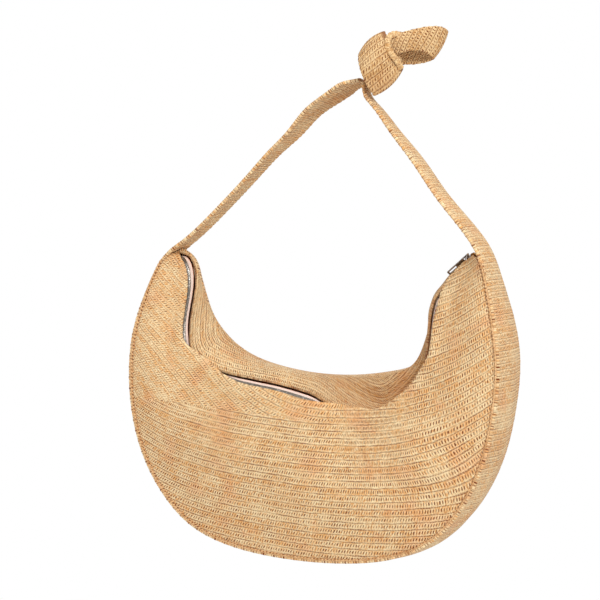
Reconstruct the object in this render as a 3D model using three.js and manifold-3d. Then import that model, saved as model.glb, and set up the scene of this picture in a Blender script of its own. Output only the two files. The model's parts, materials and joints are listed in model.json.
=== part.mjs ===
// Crescent hobo bag, crocheted in raffia, hung from its knotted strap.
// Millimetres, +Z up, front towards -Y. The origin is the point under the knot that the bag hangs from.
import * as THREE from 'three';
import Module from 'manifold-3d';
import { mergeVertices } from 'three/addons/utils/BufferGeometryUtils.js';

// ---------------------------------------------------------------- driving dimensions
const bagOffsetX = -64;        // middle of the bag from the hang point
const hornZ = -180;            // height of the two horn tips
const hornHalfWidth = 28;      // half the width of the band at a horn tip
const bagHalfWidth = 236;      // half the width between the panels' outer edges
const widestDrop = 153;        // horn tips down to the widest level
const lowerHeight = 212;       // widest level down to the bottom edge of the panels
const upperReach = 275;        // half height of the ellipse that the sides follow above the widest level
const bagDepth = 76;           // front panel to back panel, at the middle
const clothThickness = 4;      // crocheted cloth
const liningThickness = 0.8;
const mouthRadius = 185;       // radius of the zip's arc
const mouthDrop = 0;           // horn tips down to the arc's centre
const mouthLean = 10;          // degrees that the arc's plane leans to the front
const frontBulge = 11;         // how far the front panel bellies out at the middle
const backBulge = 33;          // the same for the curve that shapes the back panel
const gussetBulge = 5;
const frontLip = 3;            // the front panel's edge stands this far above the zip
const backDrop = 4.5;          // the back panel's edge starts this far below it
const ridgeRise = 0.44;        // how far the back panel stands above the zip, as a share of its height
const toothPitch = 5.6;
const toothWidth = 3.2;        // across the zip
const toothThickness = 2.4;
const toothLength = 2.0;       // the free point of a tooth, past the bead
const webThickness = 1.0;      // the slider's web, between the two rows
const tapeThickness = 0.8;
const tapeFrontWidth = 3.6;    // free tape between the teeth and the front panel
const tapeBackWidth = 7.6;
const sliderLength = 10;
const plateThickness = 1.2;
const pullLength = 29;
const pullWidth = 6;
const pullThickness = 1.1;
const strapWidth = 38;
const knotHalfSize = new THREE.Vector3(30, 21, 33);
const knotCentre = new THREE.Vector3(21, 0, 36);
const knotTilt = 40;           // degrees, the knot leans to the right
const loopLength = 64;
const loopWidth = 32;          // strap width where it is doubled back
const loopHalfGap = 8;
const seamCordRadius = 1.3;
const pocketHalfAngle = 17;    // degrees of the crescent that the pocket covers
const pocketTop = 0.5;         // share of the back panel's height above the pocket

// clearances
const clearance = 0.3;         // between pieces that touch
const seamGap = 0.85;          // panel edge to gusset, which meet along a curve
const liningGap = 0.55;        // lining behind the crocheted cloth
const slideClearance = 0.4;    // around the teeth inside the slider
const swingClearance = 0.5;    // between the band and the strap at a horn

// mesh steps
const stations = 35;           // along the crescent, odd so that a flat facet lies at the bottom
const panelSteps = 8;
const bandSteps = 9;           // across the gusset and strap, odd for the same reason
const liningSteps = 4;

const rad = THREE.MathUtils.degToRad;
const lerp = THREE.MathUtils.lerp;
const lean = rad(mouthLean);
const panelEnd = rad(89);      // the panels stop just under the horn tips
const zipEnd = rad(92);
const hornRadius = hornHalfWidth + 1;                // round end of the band, about the swing axis
const bagCentre = new THREE.Vector3(bagOffsetX, 0, hornZ);
const arcNormal = new THREE.Vector3(0, Math.cos(lean), -Math.sin(lean));
const arcDown = new THREE.Vector3(0, -Math.sin(lean), -Math.cos(lean));
const arcCentre = bagCentre.clone().addScaledVector(arcDown, mouthDrop);
const toothStart = webThickness / 2 + slideClearance;
const toothEnd = toothStart + toothWidth;
const tapeStart = toothEnd + clearance;
const frontEdge = tapeStart + tapeFrontWidth + clearance;
const backEdge = tapeStart + tapeBackWidth + clearance;

// ---------------------------------------------------------------- helpers
const steps = (from, to, count) => Array.from({ length: count + 1 }, (_, i) => lerp(from, to, i / count));

/** A closed solid between two grids of points of the same size. */
function gridSolid(outer, inner) {
  const nu = outer.length;
  const nv = outer[0].length;
  const position = [outer, inner].flat(2).flatMap((p) => [p.x, p.y, p.z]);
  const at = (layer, i, j) => layer * nu * nv + i * nv + j;
  const index = [];
  const quad = (a, b, c, d) => index.push(a, b, c, a, c, d);
  for (let i = 0; i < nu - 1; i++) {
    for (let j = 0; j < nv - 1; j++) {
      quad(at(0, i, j), at(0, i + 1, j), at(0, i + 1, j + 1), at(0, i, j + 1));
      quad(at(1, i, j), at(1, i, j + 1), at(1, i + 1, j + 1), at(1, i + 1, j));
    }
    quad(at(0, i, 0), at(1, i, 0), at(1, i + 1, 0), at(0, i + 1, 0));
    quad(at(0, i, nv - 1), at(0, i + 1, nv - 1), at(1, i + 1, nv - 1), at(1, i, nv - 1));
  }
  for (let j = 0; j < nv - 1; j++) {
    quad(at(0, 0, j), at(0, 0, j + 1), at(1, 0, j + 1), at(1, 0, j));
    quad(at(0, nu - 1, j), at(1, nu - 1, j), at(1, nu - 1, j + 1), at(0, nu - 1, j + 1));
  }
  if (signedVolume(position, index) < 0) {
    index.reverse();
  }
  const geometry = new THREE.BufferGeometry();
  geometry.setAttribute('position', new THREE.Float32BufferAttribute(position, 3));
  geometry.setIndex(index);
  geometry.computeVertexNormals();
  return geometry;
}

function signedVolume(position, index) {
  const p = (k) => new THREE.Vector3(position[3 * k], position[3 * k + 1], position[3 * k + 2]);
  let sum = 0;
  for (let k = 0; k < index.length; k += 3) {
    sum += p(index[k]).dot(p(index[k + 1]).cross(p(index[k + 2])));
  }
  return sum / 6;
}

/** Unit normal of a surface(u, v), by small steps. */
function normalAt(surface, u, v) {
  const step = 1e-4;
  const du = surface(u + step, v).sub(surface(u - step, v));
  const dv = surface(u, v + step).sub(surface(u, v - step));
  return du.cross(dv).normalize();
}

const offsetFrom = (surface, distance) => (u, v) =>
  surface(u, v).addScaledVector(normalAt(surface, u, v), distance);

/** A sheet of the given thickness, centred on a surface(u, v). */
function sheet(surface, us, vs, thickness) {
  const layer = (distance) => us.map((u) => vs.map((v) => offsetFrom(surface, distance)(u, v)));
  return gridSolid(layer(thickness / 2), layer(-thickness / 2));
}

/**
 * A sheet on a ready grid of points, with the normals taken from the grid. Rows listed as upright
 * get their thickness along X alone, so that their distance to the swing axis stays exact.
 */
function gridSheet(points, thickness, upright = []) {
  const last = points.length - 1;
  const end = points[0].length - 1;
  const normal = (i, j) => {
    const du = points[Math.min(i + 1, last)][j].clone().sub(points[Math.max(i - 1, 0)][j]);
    const dv = points[i][Math.min(j + 1, end)].clone().sub(points[i][Math.max(j - 1, 0)]);
    const direct = du.cross(dv).normalize();
    return upright.includes(i) ? new THREE.Vector3(1 / direct.x, 0, 0) : direct;
  };
  const layer = (distance) => points.map((row, i) =>
    row.map((p, j) => p.clone().addScaledVector(normal(i, j), distance)));
  return gridSolid(layer(thickness / 2), layer(-thickness / 2));
}

const wasm = await Module();
wasm.setup();

function toManifold(geometry) {
  const bare = geometry.clone();
  bare.deleteAttribute('normal');
  bare.deleteAttribute('uv');
  const merged = mergeVertices(bare);
  return new wasm.Manifold(new wasm.Mesh({
    numProp: 3,
    vertProperties: new Float32Array(merged.attributes.position.array),
    triVerts: new Uint32Array(merged.index.array),
  }));
}

function fromManifold(solid) {
  const mesh = solid.getMesh();
  const geometry = new THREE.BufferGeometry();
  geometry.setAttribute('position', new THREE.BufferAttribute(new Float32Array(mesh.vertProperties), 3));
  geometry.setIndex(new THREE.BufferAttribute(new Uint32Array(mesh.triVerts), 1));
  geometry.computeVertexNormals();
  return geometry;
}

// ---------------------------------------------------------------- the bag's surfaces
/** Centre line of the zip at an angle from straight down. */
function zipPoint(angle) {
  return arcCentre.clone()
    .add(new THREE.Vector3(mouthRadius * Math.sin(angle), 0, 0))
    .addScaledVector(arcDown, mouthRadius * Math.cos(angle));
}

/** Distance from the bag's centre to the panels' outer edge, which is two half ellipses. */
function outlineRadius(sine, cosine) {
  const edge = (height) => {
    const a = (sine / bagHalfWidth) ** 2 + (cosine / height) ** 2;
    const b = -2 * widestDrop * cosine / height ** 2;
    const c = (widestDrop / height) ** 2 - 1;
    return (-b + Math.sqrt(b * b - 4 * a * c)) / (2 * a);
  };
  const lower = edge(lowerHeight);
  return lower * cosine > widestDrop ? lower : edge(upperReach);
}

/** The section of the bag at one angle: directions, radii, depths. */
function section(angle) {
  const zip = zipPoint(angle);
  const flat = new THREE.Vector3(zip.x - bagCentre.x, 0, zip.z - bagCentre.z);
  const zipRadius = flat.length();
  const out = flat.normalize();
  const edgeRadius = outlineRadius(Math.abs(out.x), -out.z);
  const height = edgeRadius - zipRadius;
  const narrow = Math.abs(angle) / (Math.PI / 2);
  const tipDepth = 2 * hornHalfWidth - clothThickness;
  const halfDepth = lerp(bagDepth, tipDepth, Math.min(1, narrow) ** 4) / 2;
  const turn = 1e-3;
  const next = outlineRadius(Math.abs(Math.sin(polar(out) + turn)), Math.cos(polar(out) + turn));
  const skew = Math.hypot(1, (next - edgeRadius) / turn / edgeRadius);
  return { zipY: zip.y, zipRadius, out, height, halfDepth, skew, narrow: Math.min(1, narrow) };
}

const polar = (out) => Math.atan2(out.x, -out.z);

const place = (s, p, y) => bagCentre.clone().addScaledVector(s.out, s.zipRadius + p).setY(y);

const middleHeight = section(0).height;

/** Front panel: angle along the crescent, v from the zip (0) to the seam (1). */
function frontSurface(angle, v) {
  const s = section(angle);
  const belly = frontBulge * (s.height / middleHeight) * (4 * v * (1 - v)) ** 2;
  const start = s.zipY - frontEdge - clothThickness / 2;
  const y = lerp(start, -s.halfDepth, THREE.MathUtils.smoothstep(v, 0, 1)) - belly;
  return place(s, lerp(-frontLip, s.height - seamGap, v), y);
}

/** Back panel: a curve that rises from the zip, turns over and runs down to the seam. */
function backSurface(angle, v) {
  const s = section(angle);
  const start = s.zipY + backEdge + clothThickness / 2;
  const belly = backBulge * (s.height / middleHeight);
  const curve = new THREE.CubicBezierCurve(
    new THREE.Vector2(backDrop, start),
    new THREE.Vector2(-ridgeRise * s.height, lerp(start, s.halfDepth, 0.45)),
    new THREE.Vector2(0.25 * s.height, s.halfDepth + belly),
    new THREE.Vector2(s.height - seamGap, s.halfDepth),
  );
  const p = curve.getPoint(v);
  return place(s, p.x, lerp(p.y, s.halfDepth, THREE.MathUtils.smoothstep(v, 0.6, 1)));
}

/** Gusset: v from the front seam (-1) to the back seam (1), on the outer edge of both panels. */
function gussetSurface(angle, v) {
  const s = section(angle);
  const belly = gussetBulge * (1 - s.narrow ** 4) * (1 - v * v) ** 2;
  const half = s.halfDepth + clothThickness / 2;
  return place(s, s.height + s.skew * clothThickness / 2 + belly, v * half);
}

const angles = steps(-panelEnd, panelEnd, stations);

// Columns across the band, at even angles round the horn's round end.
const hornAngle = Math.asin(hornHalfWidth / hornRadius);
const columns = steps(-hornAngle, hornAngle, bandSteps).map((a) => Math.sin(a) / Math.sin(hornAngle));

// ---------------------------------------------------------------- the strap's centre lines
// Shares of the way from the horn tip to the knot's middle, in x and in z.
const strapRoutes = {
  right: [[0.1, 0.074], [0.4, 0.28], [0.7, 0.49], [0.95, 0.68], [1.1, 0.84], [1.05, 0.93]],
  left: [[0.07, 0.079], [0.23, 0.25], [0.385, 0.426], [0.565, 0.634], [0.742, 0.838], [0.92, 0.97]],
};

/** The line that one half of the strap follows, from its horn tip into the knot. */
function strapLine(side) {
  const tip = gussetSurface(side * Math.PI / 2, 0);
  const route = side > 0 ? strapRoutes.right : strapRoutes.left;
  const points = route.map(([x, z]) =>
    new THREE.Vector3(lerp(tip.x, knotCentre.x, x), 0, lerp(tip.z, knotCentre.z, z)));
  return new THREE.CatmullRomCurve3([tip, ...points], false, 'centripetal');
}

/** The strap's surface: t along the line, v across. It narrows away from the horn and twists. */
function strapSurface(side, twistEnd) {
  const line = strapLine(side);
  const across = new THREE.Vector3(0, 1, 0);
  return (t, v) => {
    const along = Math.min(1, Math.max(0, t));
    const tangent = line.getTangent(along);
    const width = lerp(2 * hornHalfWidth, strapWidth, THREE.MathUtils.smoothstep(along, 0, 0.45));
    const twist = rad(twistEnd) * THREE.MathUtils.smoothstep(along, 0.25, 1);
    const direction = across.clone().applyAxisAngle(tangent, twist);
    return line.getPoint(along).addScaledVector(direction, v * width / 2);
  };
}

const strapTwist = { 1: 15, '-1': 40 };
const strapSurfaces = { 1: strapSurface(1, strapTwist[1]), '-1': strapSurface(-1, strapTwist['-1']) };

/** Where, along the strap, column v crosses a circle round the swing axis. */
function crossing(surface, v, radius) {
  let low = 0;
  let high = 0.5;
  for (let k = 0; k < 40; k++) {
    const t = (low + high) / 2;
    const p = surface(t, v);
    if (Math.hypot(p.y, p.z - hornZ) < radius) {
      low = t;
    } else {
      high = t;
    }
  }
  return low;
}

// ---------------------------------------------------------------- pieces of the bag
function frontPanel() {
  return sheet(frontSurface, angles, steps(0, 1, panelSteps), clothThickness);
}

function backPanel() {
  return sheet(backSurface, angles, steps(0, 1, panelSteps), clothThickness);
}

/** The gusset with a round tongue at each horn, centred on the swing axis. */
function gusset() {
  const tongueSteps = 3;
  const tongue = (side) => Array.from({ length: tongueSteps }, (_, k) => columns.map((v) => {
    const surface = strapSurfaces[side];
    return surface(crossing(surface, v, hornRadius) * (k + 1) / tongueSteps, v);
  }));
  const body = angles.map((angle) => columns.map((v) => gussetSurface(angle, v)));
  const rows = [...tongue(-1).reverse(), ...body, ...tongue(1)];
  return gridSheet(rows, clothThickness, [0, rows.length - 1]);
}

/** The crocheted join along one edge of the gusset. */
function seamCord(side) {
  const ringSides = 6;
  const ring = angles.map((angle) => {
    const s = section(angle);
    const gap = clothThickness / 2 + clearance + seamCordRadius;
    return { s, centre: place(s, s.height, side * (s.halfDepth + gap)) };
  });
  const position = ring.flatMap(({ s, centre }) => Array.from({ length: ringSides }, (_, k) => {
    const turn = 2 * Math.PI * k / ringSides;
    return centre.clone()
      .addScaledVector(s.out, seamCordRadius * Math.cos(turn))
      .add(new THREE.Vector3(0, seamCordRadius * Math.sin(turn), 0));
  }));
  const index = [];
  for (let i = 0; i < ring.length - 1; i++) {
    for (let k = 0; k < ringSides; k++) {
      const a = i * ringSides + k;
      const b = i * ringSides + (k + 1) % ringSides;
      index.push(a, b, b + ringSides, a, b + ringSides, a + ringSides);
    }
  }
  const last = (ring.length - 1) * ringSides;
  for (let k = 1; k < ringSides - 1; k++) {
    index.push(0, k + 1, k, last, last + k, last + k + 1);
  }
  const flat = position.flatMap((p) => [p.x, p.y, p.z]);
  if (signedVolume(flat, index) < 0) {
    index.reverse();
  }
  const geometry = new THREE.BufferGeometry();
  geometry.setAttribute('position', new THREE.Float32BufferAttribute(flat, 3));
  geometry.setIndex(index);
  geometry.computeVertexNormals();
  return geometry;
}

// ---------------------------------------------------------------- lining
const liningInset = clothThickness / 2 + liningGap + liningThickness / 2;

function liningFront() {
  const inside = offsetFrom(frontSurface, liningInset);
  const surface = (angle, w) => {
    const top = 5 / section(angle).height;
    return inside(angle, lerp(top, 1, w));
  };
  return sheet(surface, angles, steps(0, 1, panelSteps).with(panelSteps, 0.99), liningThickness);
}

function liningBack() {
  const rows = steps(0, 1, panelSteps).with(panelSteps, 0.99);
  return sheet(offsetFrom(backSurface, -liningInset), angles, rows, liningThickness);
}

function liningBase() {
  const surface = (angle, v) => {
    const s = section(angle);
    const half = s.halfDepth - liningInset - liningThickness - clearance;
    return place(s, s.height - s.skew * (liningGap + liningThickness / 2), v * half);
  };
  return sheet(surface, angles, steps(-1, 1, liningSteps - 1), liningThickness);
}

/** Slip pocket on the back lining, open along its top. */
function pocket() {
  const gap = liningInset + liningThickness + clearance;
  const span = angles.filter((angle) => Math.abs(angle) < rad(pocketHalfAngle));
  const rows = steps(0, 1, panelSteps).filter((v) => v >= pocketTop && v < 0.9);
  return sheet(offsetFrom(backSurface, -gap), span, rows, liningThickness);
}

// ---------------------------------------------------------------- zip
/** A point near the zip: n across it, towards the back, and u up out of the mouth. */
function zipFrame(angle, n, u) {
  const out = new THREE.Vector3(Math.sin(angle), 0, 0).addScaledVector(arcDown, Math.cos(angle));
  return zipPoint(angle).addScaledVector(arcNormal, n).addScaledVector(out, -u);
}

function tape(side, width) {
  const surface = (angle, n) => zipFrame(angle, side * n, 0);
  return sheet(surface, steps(-zipEnd, zipEnd, stations), [tapeStart, tapeStart + width], tapeThickness);
}

/** One row of teeth: pointed teeth that run together where they grip the tape's bead. */
function teeth(side) {
  const reach = zipEnd - rad(2);
  const halfPitch = toothPitch / 2 / mouthRadius;
  const count = Math.floor(reach / halfPitch);
  const inner = (k) => ((k + (side > 0 ? 1 : 0)) % 2 === 0 ? toothStart : toothStart + toothLength);
  const layer = (u) => steps(-count, count, 2 * count).map((k) =>
    [inner(Math.abs(Math.round(k))), toothEnd].map((n) => zipFrame(k * halfPitch, side * n, u)));
  return gridSolid(layer(toothThickness / 2), layer(-toothThickness / 2));
}

/** Bar that ends the zip, across both rows. */
function stop(side) {
  const length = 2.4;
  const angle = side * (zipEnd - rad(0.7));
  const half = length / 2 / mouthRadius;
  const face = (u) => [angle - half, angle + half].map((a) =>
    [-tapeStart + clearance, tapeStart - clearance].map((n) => zipFrame(a, n, u)));
  return gridSolid(face(toothThickness / 2 + 0.4), face(-toothThickness / 2 - 0.4));
}

const closedAngle = rad(88);       // where the slider stands when the zip is shut
const channel = toothThickness / 2 + slideClearance;
const plateTop = channel + plateThickness;

/** Places a shape drawn with x along the zip, y across and z out of the mouth. */
function onZip(geometry, angle) {
  const x = new THREE.Vector3(Math.cos(angle), 0, 0).addScaledVector(arcDown, -Math.sin(angle));
  const z = new THREE.Vector3(-Math.sin(angle), 0, 0).addScaledVector(arcDown, -Math.cos(angle));
  const matrix = new THREE.Matrix4().makeBasis(x, arcNormal, z).setPosition(zipPoint(angle));
  return geometry.applyMatrix4(matrix);
}

/** Slider: two plates with lips, on a web between the rows, and a bridge for the pull. */
function slider() {
  const lip = tapeStart + 0.2;
  const edge = lip + 1;
  const slit = tapeThickness / 2 + slideClearance;
  const web = webThickness / 2;
  const quarter = [[web, channel], [lip, channel], [lip, slit], [edge, slit], [edge, plateTop]];
  const below = quarter.map(([y, z]) => [y, -z]);
  const right = [...below.reverse(), ...quarter];
  const left = right.map(([y, z]) => [-y, z]).reverse();
  const outline = new THREE.Shape([...right, ...left].map(([y, z]) => new THREE.Vector2(y, z)));
  const body = new THREE.ExtrudeGeometry(outline, { depth: sliderLength, bevelEnabled: false });
  body.rotateX(Math.PI / 2).rotateZ(Math.PI / 2).translate(-sliderLength / 2, 0, 0);
  return body;
}

const bridgeRise = 3.2;
const bridgeBar = 1.1;

/** The slider with the bridge over it that the pull turns in. */
function sliderWithBridge() {
  const span = 7;
  const bar = bridgeBar;
  const outer = new THREE.Shape([[-span / 2, 0], [span / 2, 0], [span / 2, bridgeRise], [-span / 2, bridgeRise]]
    .map(([x, z]) => new THREE.Vector2(x, z)));
  const inner = new THREE.Path([[-span / 2 + bar, 0.1], [span / 2 - bar, 0.1],
    [span / 2 - bar, bridgeRise - bar], [-span / 2 + bar, bridgeRise - bar]]
    .map(([x, z]) => new THREE.Vector2(x, z)));
  outer.holes.push(inner);
  const width = 1.6;
  const bridge = new THREE.ExtrudeGeometry(outer, { depth: width, bevelEnabled: false });
  bridge.rotateX(Math.PI / 2).translate(0, width / 2, plateTop - 0.1);
  return onZip(fromManifold(toManifold(slider()).add(toManifold(bridge))), closedAngle);
}

const pullAngle = 45;              // the pull lies this far off the zip, on the swollen front panel

/** Pull: a bar with a ring that passes through the bridge, and a slot in its free end. */
function pull() {
  const ringHalf = 2.4;
  const wire = 1.0;
  const slotLength = 9.2;
  const slotHalf = 1.2;
  const slotEnd = 1.8;
  const shape = new THREE.Shape([[0, -ringHalf], [0, ringHalf], [4, pullWidth / 2],
    [pullLength, pullWidth / 2], [pullLength, -pullWidth / 2], [4, -pullWidth / 2]]
    .map(([x, y]) => new THREE.Vector2(x, y)));
  const rectangle = (x0, x1, half) => new THREE.Path([[x0, -half], [x1, -half], [x1, half], [x0, half]]
    .map(([x, y]) => new THREE.Vector2(x, y)));
  shape.holes.push(rectangle(wire, 4.6, ringHalf - wire));
  shape.holes.push(rectangle(pullLength - slotEnd - slotLength, pullLength - slotEnd, slotHalf));
  const bar = new THREE.ExtrudeGeometry(shape, { depth: pullThickness, bevelEnabled: false });
  bar.translate(-wire / 2, 0, -pullThickness / 2);
  bar.rotateY(Math.PI + rad(pullAngle));
  const eyeHeight = plateTop + (bridgeRise - bridgeBar) / 2;
  bar.translate(0, 0, eyeHeight);
  return onZip(bar, closedAngle);
}

// ---------------------------------------------------------------- strap, knot and loop
/** The knot's outer shape, a rounded lump that the strap goes into. */
function knotLump(extra) {
  const lump = new THREE.SphereGeometry(1, 18, 12);
  const size = knotHalfSize.clone().addScalar(extra);
  lump.scale(size.x, size.y, size.z);
  lump.rotateY(rad(knotTilt));
  lump.translate(knotCentre.x, knotCentre.y, knotCentre.z);
  return lump;
}

const trimToKnot = (geometry) =>
  fromManifold(toManifold(geometry).subtract(toManifold(knotLump(clearance))));

function strap(side) {
  const surface = strapSurfaces[side];
  const starts = columns.map((v) => crossing(surface, v, hornRadius + swingClearance));
  const rows = steps(0, 1, 17);
  const points = rows.map((r) => columns.map((v, j) => surface(lerp(starts[j], 1, r), v)));
  return trimToKnot(gridSheet(points, clothThickness, [0]));
}

/** The spare end of the strap, doubled back into a loop beside the knot. */
function knotLoop() {
  const x0 = knotCentre.x + 12;
  const x1 = x0 + loopLength;
  const g = loopHalfGap;
  const points = [[x0, -g], [x0 + loopLength / 2, -g - 2], [x1 - 4, -g], [x1 + 4, 0], [x1 - 4, g],
    [x0 + loopLength / 2, g + 2], [x0, g]];
  const rise = 0.28;
  const line = new THREE.CatmullRomCurve3(points.map(([x, y]) =>
    new THREE.Vector3(x, y, knotCentre.z + 10 + rise * (x - x0))));
  const up = new THREE.Vector3(-rise, 0, 1).normalize();
  const surface = (t, v) => line.getPoint(t).addScaledVector(up, v * loopWidth / 2);
  const grid = steps(0, 1, 20).map((t) => steps(-1, 1, 2).map((v) => surface(t, v)));
  return trimToKnot(gridSheet(grid, clothThickness));
}

// ---------------------------------------------------------------- finishes
const finish = (color, roughness, metalness) => ({ color, roughness, metalness });
const raffia = finish(0xd6ac72, 0.85, 0);
const raffiaJoin = finish(0xbd8f58, 0.9, 0);
const liningCloth = finish(0xcbb697, 0.9, 0);
const tapeCloth = finish(0xd9b7a6, 0.85, 0);
const metal = finish(0x6d6a68, 0.35, 1);

const bag = new THREE.Group();

function addPiece(name, geometry, look) {
  const mesh = new THREE.Mesh(geometry, new THREE.MeshStandardMaterial(look));
  mesh.name = name;
  bag.add(mesh);
}

addPiece('front_panel', frontPanel(), raffia);
addPiece('back_panel', backPanel(), raffia);
addPiece('gusset', gusset(), raffia);
addPiece('seam_front', seamCord(-1), raffiaJoin);
addPiece('seam_back', seamCord(1), raffiaJoin);
addPiece('lining_front', liningFront(), liningCloth);
addPiece('lining_back', liningBack(), liningCloth);
addPiece('lining_base', liningBase(), liningCloth);
addPiece('pocket', pocket(), liningCloth);
addPiece('tape_front', tape(-1, tapeFrontWidth), tapeCloth);
addPiece('tape_back', tape(1, tapeBackWidth), tapeCloth);
addPiece('teeth_front', teeth(-1), metal);
addPiece('teeth_back', teeth(1), metal);
addPiece('stop_closed_end', stop(1), metal);
addPiece('stop_open_end', stop(-1), metal);
addPiece('slider', sliderWithBridge(), metal);
addPiece('pull', pull(), metal);
addPiece('strap_left', strap(-1), raffia);
addPiece('strap_right', strap(1), raffia);
addPiece('knot', knotLump(0), raffia);
addPiece('knot_loop', knotLoop(), raffia);

export default bag;
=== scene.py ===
"""Crescent hobo bag in crocheted raffia, hanging from its knotted strap.

Every size is in millimetres until a mesh is written, where it becomes metres. The bag's own
coordinates are X, to the right of its middle, and D, down from its horn tips.
"""
import json
import logging
import math
from dataclasses import dataclass, field
from enum import Enum

import bpy
import numpy as np
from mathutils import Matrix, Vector


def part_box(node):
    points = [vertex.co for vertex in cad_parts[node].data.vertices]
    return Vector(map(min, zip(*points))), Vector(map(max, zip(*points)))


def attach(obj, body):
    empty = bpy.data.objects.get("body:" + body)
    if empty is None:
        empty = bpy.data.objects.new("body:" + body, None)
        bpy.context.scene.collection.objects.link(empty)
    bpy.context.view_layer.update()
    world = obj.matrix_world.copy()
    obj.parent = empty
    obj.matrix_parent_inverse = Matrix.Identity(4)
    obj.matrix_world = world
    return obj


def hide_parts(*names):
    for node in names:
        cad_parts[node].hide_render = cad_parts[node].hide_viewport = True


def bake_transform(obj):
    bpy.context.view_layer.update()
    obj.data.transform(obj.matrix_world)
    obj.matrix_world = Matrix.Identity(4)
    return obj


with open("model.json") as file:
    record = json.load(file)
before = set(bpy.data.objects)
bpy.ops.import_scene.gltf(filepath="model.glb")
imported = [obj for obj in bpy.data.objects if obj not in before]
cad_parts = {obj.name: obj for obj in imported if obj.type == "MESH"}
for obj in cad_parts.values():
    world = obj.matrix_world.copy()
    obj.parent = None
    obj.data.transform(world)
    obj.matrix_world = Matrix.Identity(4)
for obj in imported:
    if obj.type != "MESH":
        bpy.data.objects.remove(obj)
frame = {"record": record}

LOG = logging.getLogger("hobo_bag")
MM = 0.001
FLOOR_DROP = 0.45        # metres from the bag's lowest point to the floor
THREAD_HEIGHT = 0.0002   # metres that a woven thread stands out
Array = np.ndarray


class Body(Enum):
    """The moving bodies of the bag."""

    STRAP = "strap"
    BAG = "bag"
    SLIDER = "slider"
    PULL = "pull"


class Slot(Enum):
    """The record's material slots."""

    RAFFIA = "raffia"
    JOIN = "raffia_join"
    LINING = "lining"
    TAPE = "zip_tape"
    TEETH = "zip_teeth"
    SLIDER = "zip_slider"


# ---------------------------------------------------------------- numbers and curves
def smooth(start: float, end: float, x: Array) -> Array:
    """Smoothstep: 0 before start, 1 after end, 3t^2 - 2t^3 between."""
    t = np.clip((np.asarray(x, float) - start) / (end - start), 0.0, 1.0)
    return t * t * (3.0 - 2.0 * t)


def unit(v: Array) -> Array:
    """Vectors along the last axis, scaled to length 1."""
    return v / np.maximum(np.linalg.norm(v, axis=-1, keepdims=True), 1e-9)


def mix(a: Array, b: Array, t: Array) -> Array:
    """a + (b - a) t, with t spread over the last axis of a and b."""
    return a + (b - a) * np.asarray(t)[..., None]


class Spline:
    """A natural cubic through points, read by its share of arc length, from 0 to 1."""

    samples: int = 6000

    def __init__(self, points: list) -> None:
        """Solves for the second derivatives at the points, with chord lengths as parameters.

        Args:
            points: the points to pass through, in order.
        """
        p = np.asarray(points, float)
        knots = np.concatenate([[0.0], np.cumsum(np.linalg.norm(np.diff(p, axis=0), axis=1))])
        h = np.diff(knots)
        n = len(p)
        system = np.eye(n)
        right = np.zeros_like(p)
        inner = np.arange(1, n - 1)
        system[inner, inner - 1] = h[:-1]
        system[inner, inner] = 2.0 * (h[:-1] + h[1:])
        system[inner, inner + 1] = h[1:]
        rise = np.diff(p, axis=0) / h[:, None]
        right[1:-1] = 6.0 * np.diff(rise, axis=0)
        bend = np.linalg.solve(system, right)
        x = np.linspace(0.0, knots[-1], self.samples)
        k = np.clip(np.searchsorted(knots, x, side="right") - 1, 0, n - 2)
        a = ((knots[k + 1] - x) / h[k])[:, None]
        b = 1.0 - a
        curve = a * p[k] + b * p[k + 1]
        curve += ((a ** 3 - a) * bend[k] + (b ** 3 - b) * bend[k + 1]) * (h[k] ** 2)[:, None] / 6.0
        steps = np.linalg.norm(np.diff(curve, axis=0), axis=1)
        along = np.concatenate([[0.0], np.cumsum(steps)])
        self.curve = curve
        self.length = float(along[-1])
        self.share = along / self.length
        self.knot_share = np.interp(knots, x, self.share)

    def at(self, t: Array) -> Array:
        """Points of the curve at shares t of its length.

        Args:
            t: shares of its length.

        Returns:
            One place for each share.
        """
        t = np.asarray(t, float)
        axes = [np.interp(t, self.share, self.curve[:, k]) for k in range(self.curve.shape[1])]
        return np.stack(axes, axis=-1)

    def tangent(self, t: Array) -> Array:
        """Unit directions of travel at shares t."""
        step = 2.0 / self.samples
        return unit(self.at(np.asarray(t) + step) - self.at(np.asarray(t) - step))


# ---------------------------------------------------------------- meshes
def grid_faces(rows: int, columns: int, closed: bool = False) -> Array:
    """Quads of a grid of points, numbered row by row.

    Args:
        rows: how many rows of points.
        columns: how many points in a row.
        closed: True where the last point of a row joins its first.

    Returns:
        (n, 4) point numbers.
    """
    wide = columns if closed else columns - 1
    i, j = np.meshgrid(np.arange(rows - 1), np.arange(wide), indexing="ij")
    k = (j + 1) % columns
    quads = [i * columns + j, i * columns + k, (i + 1) * columns + k, (i + 1) * columns + j]
    return np.stack(quads, axis=-1).reshape(-1, 4)


def signed_volume(points: Array, quads: Array) -> float:
    """Volume inside the quads, positive where they face outwards.

    Args:
        points: (n, 3) places.
        quads: (m, 4) point numbers.

    Returns:
        The volume, in the points' unit cubed.
    """
    a, b, c, d = (points[quads[:, k]] for k in range(4))
    first = np.einsum("ij,ij->i", a, np.cross(b, c))
    second = np.einsum("ij,ij->i", a, np.cross(c, d))
    return float((first + second).sum() / 6.0)


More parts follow.
